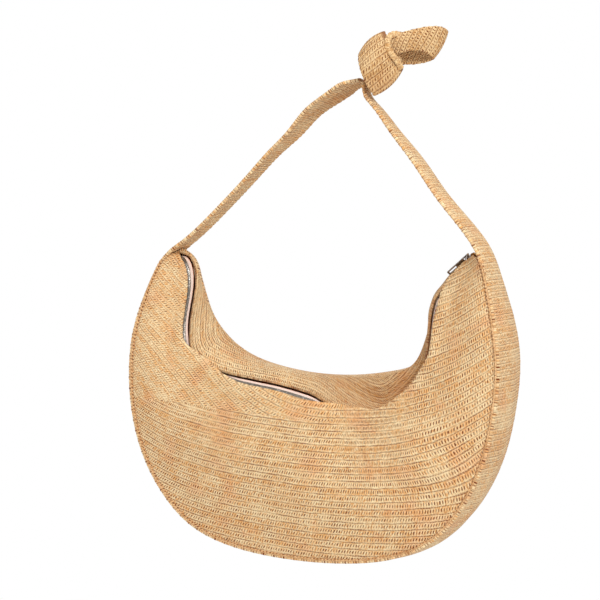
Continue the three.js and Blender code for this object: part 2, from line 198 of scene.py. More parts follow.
def make_object(name: str, points: Array, faces: list, uv: Array | None = None,
                marks: dict | None = None) -> bpy.types.Object:
    """A smooth-shaded mesh object at the origin.

    Args:
        name: the piece's name.
        points: (n, 3) places in millimetres.
        faces: lists or arrays of point numbers, facing outwards.
        uv: (n, 2) pattern coordinates, stitches along and rows across.
        marks: named numbers for each point.

    Returns:
        The new object, in the scene.
    """
    mesh = bpy.data.meshes.new(name)
    mesh.from_pydata((points * MM).tolist(), [], [list(f) for f in faces])
    if uv is not None:
        layer = mesh.uv_layers.new(name="pattern")
        corner = np.empty(len(mesh.loops), np.int32)
        mesh.loops.foreach_get("vertex_index", corner)
        layer.data.foreach_set("uv", uv[corner].astype(np.float32).ravel())
    for key, values in (marks or {}).items():
        attribute = mesh.attributes.new(key, "FLOAT", "POINT")
        attribute.data.foreach_set("value", np.asarray(values, np.float32).ravel())
    mesh.polygons.foreach_set("use_smooth", np.ones(len(mesh.polygons), bool))
    mesh.update()
    mesh.validate()
    piece = bpy.data.objects.new(name, mesh)
    bpy.context.scene.collection.objects.link(piece)
    return piece


def surface_normals(grid: Array) -> Array:
    """Unit normals of a grid surface, from central differences along both ways.

    Args:
        grid: (rows, columns, 3) places.

    Returns:
        (rows, columns, 3) unit vectors.
    """
    along = np.gradient(grid, axis=0)
    across = np.gradient(grid, axis=1)
    return unit(np.cross(along, across))


@dataclass
class Cloth:
    """A closed sheet of crocheted cloth built round a grid surface, with round edges."""

    thickness: float = 4.0
    back_step: int = 8
    edge_steps: int = 5

    def build(self, name: str, grid: Array, uv: Array, relief: Array,
              marks: dict | None = None) -> bpy.types.Object:
        """Wraps the sheet round its middle surface.

        The section at each station runs along the outer face, round one edge in a half circle,
        back along the inner face with fewer points, and round the other edge.

        Args:
            name: the piece's name.
            grid: (stations, columns, 3) middle surface whose normals point to the outer face.
            uv: (stations, columns, 2) pattern coordinates.
            relief: (stations, columns) height of the stitches on the outer face.
            marks: named (stations, columns) numbers that the finish reads.

        Returns:
            The closed mesh object.
        """
        half = self.thickness / 2.0
        normal = surface_normals(grid)
        columns = grid.shape[1]
        back = np.arange(columns - 1, -1, -self.back_step)
        if back[-1] != 0:
            back = np.append(back, 0)
        turn = np.linspace(0.0, math.pi, self.edge_steps + 2)[1:-1]
        parts = [grid + normal * (half + relief)[..., None]]
        picks = [np.arange(columns)]
        for column, inward in ((columns - 1, columns - 2), (0, 1)):
            edge = unit(grid[:, column] - grid[:, inward])
            n = normal[:, column]
            swell = half + relief[:, column][:, None]
            angles = turn if column else turn[::-1]
            arc = [grid[:, column] + (n * math.cos(a) + edge * math.sin(a)) * swell for a in angles]
            rim = np.stack(arc, axis=1)
            if column:
                parts += [rim, (grid - normal * half)[:, back]]
                picks += [np.full(len(turn), column), back]
            else:
                parts.append(rim)
                picks.append(np.full(len(turn), 0))
        ring = np.concatenate(parts, axis=1)
        pick = np.concatenate(picks)
        stations, around = ring.shape[:2]
        points = ring.reshape(-1, 3)
        quads = grid_faces(stations, around, closed=True)
        ends = [list(range(around)), list(range((stations - 1) * around, stations * around))]
        if signed_volume(points, quads) < 0:
            quads = quads[:, ::-1]
            ends[1].reverse()
        else:
            ends[0].reverse()
        numbers = {k: v[:, pick].ravel() for k, v in (marks or {}).items()}
        outside = np.zeros(around)
        outside[:columns] = 1.0
        numbers["outside"] = np.tile(outside, stations)
        return make_object(name, points, quads.tolist() + ends, uv[:, pick].reshape(-1, 2), numbers)


def sweep(line: Array, first: Array, second: Array, profile: Array) -> tuple[Array, Array]:
    """A closed profile carried along a line: point = line + first x + second y.

    Args:
        line: (n, 3) places.
        first: (n, 3) directions of the profile's x.
        second: (n, 3) directions of the profile's y.
        profile: (m, 2) or (n, m, 2) closed outline.

    Returns:
        The points and the quads between them.
    """
    shape = np.broadcast_to(profile, (len(line),) + profile.shape[-2:])
    points = line[:, None] + first[:, None] * shape[..., :1] + second[:, None] * shape[..., 1:]
    return points.reshape(-1, 3), grid_faces(len(line), shape.shape[1], closed=True)


def capped(points: Array, quads: Array, around: int) -> list:
    """The quads of a swept tube with a face over each end, all facing outwards.

    Args:
        points: (n, 3) places of the tube, ring by ring.
        quads: its (m, 4) quads.
        around: how many points a ring has.

    Returns:
        Point numbers of each face.
    """
    count = len(points)
    ends = [list(range(around)), list(range(count - around, count))]
    if signed_volume(points, quads) < 0:
        quads = quads[:, ::-1]
        ends[1].reverse()
    else:
        ends[0].reverse()
    return quads.tolist() + ends


def circle(radius: float, sides: int) -> Array:
    """(sides, 2) points of a circle."""
    a = np.linspace(0.0, 2.0 * math.pi, sides, endpoint=False)
    return np.stack([np.cos(a), np.sin(a)], axis=-1) * radius


# ---------------------------------------------------------------- crochet
@dataclass(frozen=True)
class Crochet:
    """The stitch pattern: rows with a groove between them, and slanted stitches in each row."""

    row_pitch: float = 8.0
    stitch_pitch: float = 3.1
    slant: float = 1.05
    bar_height: float = 1.05
    dimple_depth: float = 0.6

    def relief(self, uv: Array, strength: Array | float = 1.0) -> Array:
        """Height of the outer face at pattern coordinates.

        A row is a bar 1 - |2f - 1|^3 across its width f; between two stitches lies a slanted dimple.

        Args:
            uv: stitches along the row and rows across, in the last axis.
            strength: how deep the stitches are, from 0 to 1.

        Returns:
            Heights in millimetres, about 0 on average.
        """
        stitch, row = uv[..., 0], uv[..., 1]
        f = np.mod(row, 1.0)
        bar = 1.0 - np.abs(2.0 * f - 1.0) ** 3
        phase = np.mod(stitch + 0.5 * np.mod(np.floor(row), 2.0) + self.slant * (f - 0.5), 1.0)
        window = smooth(0.18, 0.36, f) * (1.0 - smooth(0.64, 0.82, f))
        dimple = np.exp(-((phase - 0.5) / 0.17) ** 2) * window
        return strength * (self.bar_height * (bar - 0.75) - self.dimple_depth * dimple)


# ---------------------------------------------------------------- the bag's lines
@dataclass
class Drape:
    """The hanging bag's main lines, each as (X, D) or (X, y, D) in the bag's own coordinates."""

    middle: float = 0.0
    horn_z: float = -180.0
    horn_half_left: float = 20.0
    horn_half_right: float = 25.0
    body_half: float = 38.0
    strap_half: float = 19.0
    hole_inset: float = 2.6
    hole_width: float = 1.5
    hole_pitch: float = 4.4
    mouth_points: list = field(default_factory=lambda: [
        (-190, 0, 1), (-174, -3, 14), (-165, -8, 42), (-167, -17, 88), (-161, -24, 114),
        (-138, -28, 133), (-88, -34, 154), (-41, -38, 161), (30, -40, 176), (80, -36, 184),
        (98, -34, 182), (112, -33, 173), (126, -31, 162), (138, -29, 148), (148, -26, 128),
        (152, -22, 105), (153, -17, 82), (157, -12, 58), (168, -6, 33), (184, -2, 14), (198, 0, 2)])
    ridge_points: list = field(default_factory=lambda: [
        (-189, 4, -1), (-172, 5, 9), (-164, 7, 30), (-157, 10, 56), (-148, 13, 81), (-131, 16, 105),
        (-98, 18, 129), (-55, 20, 143), (-8, 21, 150), (45, 21, 150), (98, 18, 142), (123, 15, 132),
        (138, 12, 106), (146, 9, 74), (155, 6, 51), (168, 4, 30), (185, 2, 13), (199, 1, 0)])
    outline_points: list = field(default_factory=lambda: [
        (-190, 3), (-203, 22), (-217, 64), (-229, 120), (-230, 182), (-216, 243), (-185, 297),
        (-148, 331), (-92, 352), (-25, 360), (60, 358), (125, 344), (160, 325), (196, 284),
        (219, 235), (232, 178), (236, 125), (227, 64), (220, 34), (209, 1)])
    strap_left_points: list = field(default_factory=lambda: [
        (60, -196), (46, -193), (31, -185), (14, -175), (-3, -164), (-27, -140), (-54, -117),
        (-78, -94), (-103, -70), (-128, -47), (-153, -25), (-174, -9)])
    strap_right_points: list = field(default_factory=lambda: [
        (192, -24), (172, -47), (153, -70), (136, -94), (118, -117), (98, -141), (78, -166),
        (67, -179), (63, -195)])

    def __post_init__(self) -> None:
        """Fits the splines: the mouth, the back panel's ridge, and the band with both straps."""
        self.mouth = Spline(self.mouth_points)
        self.ridge = Spline(self.ridge_points)
        band = self.strap_left_points + self.outline_points + self.strap_right_points
        self.band = Spline(band)
        first = len(self.strap_left_points)
        self.tip_left = self.band.knot_share[first]
        self.tip_right = self.band.knot_share[first + len(self.outline_points) - 1]

    def place(self, x: Array, y: Array, depth: Array) -> Array:
        """Bag coordinates turned into the frame's millimetres."""
        return np.stack([x + self.middle, y, self.horn_z - depth], axis=-1)

    def outline_share(self, t: Array) -> Array:
        """Share along the band of a share t along the panels' outer edge."""
        return self.tip_left + (self.tip_right - self.tip_left) * t

    def half_depth(self, share: Array) -> Array:
        """Half the band's width: narrow on the strap, wider at the horns, widest round the bag.

        Args:
            share: shares of the strip's length, from the left half of the knot to the right.

        Returns:
            Half widths in millimetres.
        """
        from_tip = np.minimum(share - self.tip_left, self.tip_right - share) * self.band.length
        middle = 0.5 * (self.tip_left + self.tip_right)
        horn = np.where(share < middle, self.horn_half_left, self.horn_half_right)
        body = smooth(0.0, 120.0, from_tip) * (self.body_half - horn)
        strap = smooth(0.0, 125.0, -from_tip) * (horn - self.strap_half)
        return horn + body - strap

    def mouth_at(self, t: Array) -> Array:
        """The zip's line in the frame."""
        p = self.mouth.at(t)
        return self.place(p[..., 0], p[..., 1], p[..., 2])

    def ridge_at(self, t: Array) -> Array:
        """The back panel's top line in the frame."""
        p = self.ridge.at(t)
        return self.place(p[..., 0], p[..., 1], p[..., 2])

    def seam_at(self, t: Array, side: int) -> Array:
        """A panel's outer edge: side -1 at the front, 1 at the back.

        Args:
            t: shares along the zip and the panels' edges, from the left horn (0) to the right (1).
            side: -1 at the front, 1 at the back.

        Returns:
            (..., 3) places in millimetres.
        """
        share = self.outline_share(t)
        p = self.band.at(share)
        return self.place(p[..., 0], side * self.half_depth(share), p[..., 1])

    def outward(self, t: Array) -> Array:
        """Unit direction, level with the panels, from the mouth to the outer edge.

        Args:
            t: shares along the zip and the panels' edges, from the left horn (0) to the right (1).

        Returns:
            (..., 3) unit vectors.
        """
        away = self.seam_at(t, 1) - self.mouth_at(t)
        away[..., 1] = 0.0
        return unit(away)

    def opening(self, t: Array) -> Array:
        """How far the zip's slit gapes: three stretches show it, and cloth closes over the rest.

        Args:
            t: shares along the zip and the panels' edges, from the left horn (0) to the right (1).

        Returns:
            From 0, closed, to 1, fully open.
        """
        left = smooth(-0.01, 0.03, t) * (1.0 - smooth(0.18, 0.245, t))
        centre = smooth(0.23, 0.37, t) * (1.0 - smooth(0.49, 0.578, t))
        right = smooth(0.75, 0.80, t) * (1.0 - 0.55 * smooth(0.88, 0.92, t))
        return np.maximum(np.maximum(left, centre), right)

    def seam_marks(self, t: Array, distance: Array) -> dict:
        """Marks for the painted shade of the needle holes beside a seam: holes along it, and nearness to
        their line.

        Args:
            t: shares along the zip and the panels' edges, from the left horn (0) to the right (1).
            distance: how far each point lies from the seam.

        Returns:
            The marks hole_u and hole_and_edge_shade.
        """
        length = self.band.length * (self.tip_right - self.tip_left)
        near = np.exp(-((distance - self.hole_inset) / self.hole_width) ** 2)
        return {"hole_u": t * length / self.hole_pitch, "hole_and_edge_shade": near}

    def across_zip(self, t: Array) -> Array:
        """Unit direction across the zip, from the front panel to the back one."""
        tilt = 0.75 + 0.4 * smooth(0.6, 0.8, t)
        return unit(np.array([0.0, 1.0, 0.0]) - self.outward(t) * tilt[..., None])


@dataclass
class Panels:
    """The front and back panels and the cloth's pattern on them."""

    drape: Drape
    crochet: Crochet
    stations: int = 460
    columns: int = 165
    belly: float = 13.0
    ripple: float = 0.8
    lip_height: float = 2.5
    front_gap: float = 4.4
    back_gap: float = 5.8
    back_belly: float = 13.0
    half_cloth: float = 2.0
    overlap: float = 1.6
    tuck: float = 3.8
    fold_depth: float = 182.0
    fold_slope: float = 0.06
    fold_left: float = -230.0
    fold_right: float = 45.0

    def row_field(self, x: Array, depth: Array) -> tuple[Array, Array, Array]:
        """Pattern coordinates on the front, where two fields of rows meet along one line.

        A row is the curve D = c + H(X), and H is the integral of the row's slope. Stitches are
        counted along the row as the integral of 1/cos, plus (c - c0) sin so that they stay square.

        Args:
            x: places to the right of the middle.
            depth: places below the horn tips.

        Returns:
            Two fields of (..., 2) stitches and rows, and where the first takes over from the
            second: above 0.
        """
        places = np.array([-260, -200, -150, -68, 0, 45, 110, 160, 205, 260], float)
        upper = np.array([1.30, 1.15, 0.95, 0.62, 0.18, 0.0, -0.16, -0.34, -0.62, -0.8])
        lower = np.array([0.62, 0.42, 0.20, 0.09, 0.05, 0.0, -0.08, -0.13, -0.20, -0.3])
        fine = np.linspace(-260, 260, 521)
        result = []
        for slopes, base in ((upper, 170.0), (lower, 280.0)):
            slope = np.interp(fine, places, slopes)
            slope = np.convolve(np.pad(slope, 12, mode="edge"), np.ones(25) / 25.0, mode="valid")
            height = np.cumsum(slope)
            height -= np.interp(30.0, fine, height)
            count = np.cumsum(np.sqrt(1.0 + slope ** 2))
            c = depth - np.interp(x, fine, height)
            tilt = np.interp(x, fine, slope)
            s = np.interp(x, fine, count) + (c - base) * tilt / np.sqrt(1.0 + tilt ** 2)
            uv = np.stack([s / self.crochet.stitch_pitch, c / self.crochet.row_pitch], axis=-1)
            result.append(uv)
        line = self.fold_depth + self.fold_slope * (x - self.fold_left)
        meet = np.maximum((depth - line) / 20.0, (x - self.fold_right) / 60.0)
        share = smooth(self.fold_right, 150.0, x) * smooth(300.0, 200.0, depth)
        lower_uv = result[1] + (result[0] - result[1]) * share[..., None]
        return lower_uv, result[0], np.clip(meet, -1.0, 1.0)

    def front_surface(self, t: Array, v: Array) -> Array:
        """Middle surface of the front panel, v from the zip (0) to the seam (1).

        point = mouth edge + (seam - mouth edge) v in X and D, while y goes by smoothstep and
        bellies to the front by sin(pi v)^1.3, with a soft lip beside the zip.

        Args:
            t: shares along the zip and the panels' edges, from the left horn (0) to the right (1).
            v: shares from the zip (0) to the seam (1).

        Returns:
            (..., 3) places in millimetres.
        """
        d = self.drape
        gape = d.opening(t)
        gap = (self.front_gap + self.half_cloth) * gape - self.overlap * (1.0 - gape)
        start = d.mouth_at(t) - d.across_zip(t) * gap[..., None]
        start = start - d.outward(t) * (self.overlap * 0.5 * (1.0 - gape))[..., None]
        end = d.seam_at(t, -1)
        height = np.linalg.norm((end - start)[..., [0, 2]], axis=-1)
        point = mix(start, end, v)
        ease = smooth(0.0, 1.0, v)
        point[..., 1] = start[..., 1] + (end[..., 1] - start[..., 1]) * ease
        full = np.clip(height / 185.0, 0.0, 1.0)
        point[..., 1] -= self.belly * full * np.sin(math.pi * np.clip(v, 0, 1)) ** 1.3
        near = np.exp(-((v * height - 7.0) / 6.0) ** 2)
        point[..., 1] -= self.lip_height * near * smooth(0.0, 30.0, height)
        x, z = point[..., 0], point[..., 2]
        wave = np.sin((x * 0.9 - z * 0.5) / 17.0) + np.sin((x * 0.35 + z * 1.1) / 15.0 + 1.3)
        point[..., 1] += self.ripple * wave * np.sin(math.pi * np.clip(v, 0, 1)) * full
        return point

    def valley_shade(self, t: Array, v: Array) -> Array:
        """How much painted shade the cloth gets in the dip between the zip and the ridge.

        Args:
            t: shares along the zip and the panels' edges, from the left horn (0) to the right (1).
            v: shares from the zip (0) to the seam (1).

        Returns:
            From 0, none, to 1, full painted shade.
        """
        middle = smooth(0.40, 0.62, t) * (1.0 - 0.5 * smooth(0.84, 0.97, t))
        ridge = self.ridge_share(t)
        return middle * (1.0 - smooth(ridge * 0.75, ridge * 1.05, v))

    def ridge_share(self, t: Array) -> Array:
        """Where the ridge lies between the zip (0) and the back seam (1).

        Args:
            t: shares along the zip and the panels' edges, from the left horn (0) to the right (1).

        Returns:
            Shares from the zip to the seam.
        """
        d = self.drape
        rise = np.linalg.norm(d.ridge_at(t) - d.mouth_at(t), axis=-1)
        drop = np.linalg.norm(d.seam_at(t, 1) - d.ridge_at(t), axis=-1)
        return rise / (rise + drop)

    def back_surface(self, t: Array, v: Array) -> Array:
        """Middle surface of the back panel: zip edge, over the ridge, down to the back seam.

        Two cubic Bezier arcs share a tangent at the ridge; v passes from one to the other at
        their share of the length.

        Args:
            t: shares along the zip and the panels' edges, from the left horn (0) to the right (1).
            v: shares from the zip (0) to the seam (1).

        Returns:
            (..., 3) places in millimetres.
        """
        d = self.drape
        gape = d.opening(t)
        out = d.outward(t)
        gap = (self.back_gap + self.half_cloth) * gape - self.overlap * (1.0 - gape)
        start = d.mouth_at(t) + d.across_zip(t) * gap[..., None]
        start = start + out * (self.tuck * (1.0 - gape))[..., None]
        top = d.ridge_at(t)
        end = d.seam_at(t, 1)
        rise = np.linalg.norm(top - start, axis=-1)
        drop = np.linalg.norm(end - top, axis=-1)
        turn = self.ridge_share(t)
        back = np.zeros_like(out)
        back[..., 1] = 1.0
        one = (rise * 0.45)[..., None]
        two = np.minimum(drop * 0.4, 24.0)[..., None]
        over = unit(back + out * 0.1)
        valley = (smooth(0.50, 0.64, t) * (1.0 - smooth(0.78, 0.86, t)))[..., None]
        leave = unit(back * 0.75 - out) * one * (1.0 - valley)
        leave = leave + (back * 1.05 + out * 0.12) * rise[..., None] * valley
        arrive = over * one * 0.6 * (1.0 - valley) + over * rise[..., None] * 0.75 * valley
        first = (start, start + leave, top - arrive, top)
        bulge = (self.back_belly * np.clip(drop / 190.0, 0.0, 1.0))[..., None]
        low = end - out * (drop * 0.55)[..., None] + back * bulge * 1.6
        second = (top, top + over * two, low, end)
        a = np.clip(v / np.maximum(turn, 1e-6), 0.0, 1.0)
        b = np.clip((v - turn) / np.maximum(1.0 - turn, 1e-6), 0.0, 1.0)
        return np.where((v < turn)[..., None], bezier(first, a), bezier(second, b))

    def from_seam(self, grid: Array) -> Array:
        """Distance of each grid point from the last one in its row, along the cloth."""
        steps = np.linalg.norm(np.diff(grid, axis=1, append=grid[:, -1:]), axis=-1)
        return np.cumsum(steps[:, ::-1], axis=1)[:, ::-1]

    def mesh_grid(self) -> tuple[Array, Array]:
        """Grids of t and v over a panel, short of the horn tips where the cloth closes.

        Returns:
            The grid of t and the grid of v.
        """
        t = np.linspace(0.006, 0.994, self.stations)
        v = np.linspace(0.0, 1.0, self.columns)
        return np.meshgrid(t, v, indexing="ij")

    def front(self) -> bpy.types.Object:
        """The front panel's mesh.

        Returns:
            The mesh object.
        """
        t, v = self.mesh_grid()
        grid = self.front_surface(t, v)
        x = grid[..., 0] - self.drape.middle
        depth = self.drape.horn_z - grid[..., 2]
        uv, upper, meet = self.row_field(x, depth)
        openness = 0.75 + 0.25 * smooth(-0.2, 0.2, meet)
        relief = np.where(meet > 0, self.crochet.relief(uv, openness),
                          self.crochet.relief(upper, openness))
        marks = {"openness": openness, "meet": meet - 0.001, "upper_u": upper[..., 0],
                 "upper_v": upper[..., 1], **self.drape.seam_marks(t, self.from_seam(grid))}
        return Cloth().build("front_panel_crochet", grid, uv, relief, marks)

    def back(self) -> bpy.types.Object:
        """The back panel's mesh: rows follow the ridge in front of it, and lie level behind it.

        Returns:
            The mesh object.
        """
        t, v = self.mesh_grid()
        grid = self.back_surface(t, v)
        run = np.cumsum(np.linalg.norm(np.diff(grid, axis=1, prepend=grid[:, :1]), axis=-1), axis=1)
        inner = t * self.drape.mouth.length
        outer = t * self.drape.band.length * (self.drape.tip_right - self.drape.tip_left)
        stitch = (inner + (outer - inner) * v) / self.crochet.stitch_pitch
        near = np.stack([stitch, run / self.crochet.row_pitch], axis=-1)
        x, depth = grid[..., 0] - self.drape.middle, self.drape.horn_z - grid[..., 2]
        uv = np.stack([(x + 400.0) / self.crochet.stitch_pitch,
                       (depth + 4.0 * (x / 200.0) ** 2) / self.crochet.row_pitch], axis=-1)
        meet = np.clip((v - self.ridge_share(t)) * 4.0, -1.0, 1.0)
        openness = np.full(t.shape, 1.0)
        relief = np.where(meet > 0, self.crochet.relief(uv, openness),
                          self.crochet.relief(near, openness))
        # The valley's mark paints shade into the dip between the zip and the ridge.
        marks = {"openness": openness, "meet": meet - 0.001, "upper_u": near[..., 0],
                 "upper_v": near[..., 1], "painted_shade": self.valley_shade(t, v),
                 **self.drape.seam_marks(t, self.from_seam(grid))}
        marks = {name: values[:, ::-1] for name, values in marks.items()}
        return Cloth().build("back_panel_crochet", grid[:, ::-1], uv[:, ::-1], relief[:, ::-1], marks)


def bezier(points: tuple, t: Array) -> Array:
    """Cubic Bezier with control points given as arrays, at parameters t.

    Args:
        points: four control points, each (..., 3).
        t: parameters from 0 to 1.

    Returns:
        (..., 3) places.
    """
    s = 1.0 - t
    weights = (s ** 3, 3 * s * s * t, 3 * s * t * t, t ** 3)
    return sum(w[..., None] * p for w, p in zip(weights, points))


@dataclass
class Band:
    """The gusset and both halves of the strap, crocheted in one strip."""

    drape: Drape
    crochet: Crochet
    stations: int = 1000
    columns: int = 41
    belly: float = 4.0
    overlap: float = 1.5
    twist_knot_left: float = 10.0
    twist_horn_left: float = -6.0
    twist_knot_right: float = -9.0
    fold_side: float = -1.0
    gather: float = 0.4
    lift: float = 2.0
    crown: float = 1.8
    row_pitch: float = 6.6
    stitch_pitch: float = 3.6
    openness: float = 0.8

    def frame_at(self, share: Array) -> tuple[Array, Array, Array]:
        """Place, direction across and outward normal of the band at shares of its length.

        Args:
            share: shares of the strip's length, from the left half of the knot to the right.

        Returns:
            The places, the directions across and the normals, each (..., 3).
        """
        d = self.drape
        p = d.band.at(share)
        line = d.place(p[..., 0], np.zeros_like(share), p[..., 1])
        tan = d.band.tangent(share)
        along = np.stack([tan[..., 0], np.zeros_like(share), -tan[..., 1]], axis=-1)
        left = self.twist_knot_left * smooth(d.tip_left * 0.6, 0.0, share)
        left += self.twist_horn_left * smooth(0.0, d.tip_left * 0.5, share) \
            * smooth(d.tip_left * 1.15, d.tip_left * 0.85, share)
        right = self.twist_knot_right * smooth(1.0 - (1.0 - d.tip_right) * 0.5, 1.0, share)
        turn = np.radians(left - right)[..., None]
        level = np.zeros_like(along)
        level[..., 1] = 1.0
        side = np.cross(along, level)
        across = level * np.cos(turn) + side * np.sin(turn)
        return line, across, np.cross(across, along)

    def surface(self, share: Array, v: Array) -> Array:
        """Middle surface of the strip.

        Round the bag it is line + across v half + outward (lift + belly (1 - v^2)^2). On the strap
        the last term is crown (1 - v^2), and half is gathered in beside the knot.

        Args:
            share: shares of the strip's length, from the left half of the knot to the right.
            v: from one edge of the strip (-1) to the other (1).

        Returns:
            (..., 3) places in millimetres.
        """
        d = self.drape
        line, across, out = self.frame_at(share)
        from_tip = np.minimum(share - d.tip_left, d.tip_right - share) * d.band.length
        body = smooth(0.0, 90.0, from_tip)
        half = d.half_depth(share) + self.overlap * body
        from_knot = np.minimum(share, 1.0 - share) * d.band.length
        half = half * (1.0 - self.gather + self.gather * smooth(4.0, 26.0, from_knot))
        rise = self.lift * body + self.belly * body * (1.0 - v * v) ** 2
        crown = (1.0 - body) * self.crown * (1.0 - v * v)
        return line + across * (v * half)[..., None] + out * (rise + crown)[..., None]

    def build(self) -> bpy.types.Object:
        """The strip's mesh, rows running across it.

        Returns:
            The mesh object.
        """
        d = self.drape
        share, v = np.meshgrid(np.linspace(0.0, 1.0, self.stations),
                               np.linspace(-1.0, 1.0, self.columns), indexing="ij")
        grid = self.surface(share, v)
        row = share * d.band.length / self.row_pitch
        stitch = v * d.half_depth(share) / self.stitch_pitch
        uv = np.stack([stitch, row], axis=-1)
        openness = np.full(share.shape, self.openness)
        relief = self.crochet.relief(uv, openness)
        body = smooth(d.tip_left, d.tip_left + 0.03, share) \
            * (1.0 - smooth(d.tip_right - 0.01, d.tip_right, share))
        t = (share - d.tip_left) / (d.tip_right - d.tip_left)
        marks = d.seam_marks(t, (1.0 - np.abs(v)) * d.half_depth(share))
        marks["hole_and_edge_shade"] = marks["hole_and_edge_shade"] * body
        marks["openness"] = openness
        # Painted shade on one half of the strap where it turns into the knot.
        marks["painted_shade"] = smooth(0.075, 0.02, share) * smooth(0.25, -0.05, v * self.fold_side)
        return Cloth(back_step=5).build("gusset_and_strap_crochet", grid, uv, relief, marks)


# ---------------------------------------------------------------- finishes
class Graph:
    """A short way to write shader nodes."""

    def __init__(self, tree: bpy.types.NodeTree) -> None:
        """Keeps the tree that nodes are added to."""
        self.tree = tree

    def add(self, kind: str, **settings: object) -> bpy.types.Node:
        """Adds a node and sets its properties.

        Args:
            kind: the node's type.
            settings: its properties.

        Returns:
            The node.
        """
        node = self.tree.nodes.new(kind)
        for key, value in settings.items():
            setattr(node, key, value)
        return node

    def feed(self, socket: bpy.types.NodeSocket, value: object) -> None:
        """Links a socket to the given one, or sets its plain value.

        Args:
            socket: the input.
            value: a socket, or a plain value.
        """
        if isinstance(value, bpy.types.NodeSocket):
            self.tree.links.new(value, socket)
        else:
            socket.default_value = value

    def math(self, operation: str, a: object, b: object = 0.0, c: object = 0.0,
             clamp: bool = False) -> bpy.types.NodeSocket:
        """A Math node's result.

        Args:
            operation: what the node works out.
            a: first value or socket.
            b: second value or socket.
            c: third value or socket.
            clamp: True to keep the result between 0 and 1.

        Returns:
            The result's socket.
        """
        node = self.add("ShaderNodeMath", operation=operation, use_clamp=clamp)
        for socket, value in zip(node.inputs, (a, b, c)):
            self.feed(socket, value)
        return node.outputs[0]

    def step(self, value: object, start: float, end: float) -> bpy.types.NodeSocket:
        """Smoothstep of a value from start to end.

        Args:
            value: a value or socket.
            start: where the step is 0.
            end: where the step is 1.

        Returns:
            The result's socket.
        """
        node = self.add("ShaderNodeMapRange", interpolation_type="SMOOTHSTEP")
        self.feed(node.inputs["Value"], value)
        node.inputs["From Min"].default_value = start
        node.inputs["From Max"].default_value = end
        return node.outputs["Result"]

    def blend(self, amount: object, a: object, b: object, kind: str = "MIX") -> bpy.types.NodeSocket:
        """Mixes two colours.

        Args:
            amount: share of the second colour.
            a: first colour or socket.
            b: second colour or socket.
            kind: the blend type.

        Returns:
            The result's socket.
        """
        node = self.add("ShaderNodeMix", data_type="RGBA", blend_type=kind)
        self.feed(node.inputs[0], amount)
        self.feed(node.inputs[6], a)
        self.feed(node.inputs[7], b)
        return node.outputs[2]

    def noise(self, vector: object, scale: float, detail: float = 2.0,
              rough: float = 0.5) -> bpy.types.NodeSocket:
        """A noise texture's factor.

        Args:
            vector: where it is read.
            scale: its scale.
            detail: its octaves.
            rough: its roughness.

        Returns:
            The result's socket.
        """
        node = self.add("ShaderNodeTexNoise")
        self.feed(node.inputs["Vector"], vector)
        node.inputs["Scale"].default_value = scale
        node.inputs["Detail"].default_value = detail
        node.inputs["Roughness"].default_value = rough
        return node.outputs["Fac"]

    def vector(self, x: object, y: object, z: object = 0.0) -> bpy.types.NodeSocket:
        """A vector from three numbers.

        Args:
            x: first value or socket.
            y: second value or socket.
            z: third value or socket.

        Returns:
            The result's socket.
        """
        node = self.add("ShaderNodeCombineXYZ")
        for socket, value in zip(node.inputs, (x, y, z)):
            self.feed(socket, value)
        return node.outputs[0]

    def parts(self, vector: object) -> tuple:
        """The sockets of a vector's x, y and z.

        Args:
            vector: the vector's socket.

        Returns:
            Three sockets.
        """
        node = self.add("ShaderNodeSeparateXYZ")
        self.feed(node.inputs[0], vector)
        return tuple(node.outputs)

    def attribute(self, name: str) -> bpy.types.NodeSocket:
        """The number that a mesh attribute gives, which is 0 on a piece without it."""
        return self.add("ShaderNodeAttribute", attribute_name=name).outputs["Fac"]

    def bump(self, shader: bpy.types.Node, height: object, strength: float, distance: float) -> None:
        """Bends the shader's normal by a height.

        Args:
            shader: the material's shader.
            height: the height's socket.
            strength: from 0 to 1.
            distance: metres for a height of 1.
        """
        node = self.add("ShaderNodeBump")
        node.inputs["Strength"].default_value = strength
        node.inputs["Distance"].default_value = distance
        self.feed(node.inputs["Height"], height)
        self.feed(shader.inputs["Normal"], node.outputs[0])

    def random(self, vector: object) -> bpy.types.NodeSocket:
        """A random number for each whole-number place.

        Args:
            vector: where it is read.

        Returns:
            The result's socket.
        """
        node = self.add("ShaderNodeTexWhiteNoise", noise_dimensions="3D")
        self.feed(node.inputs["Vector"], vector)
        return node.outputs["Value"]


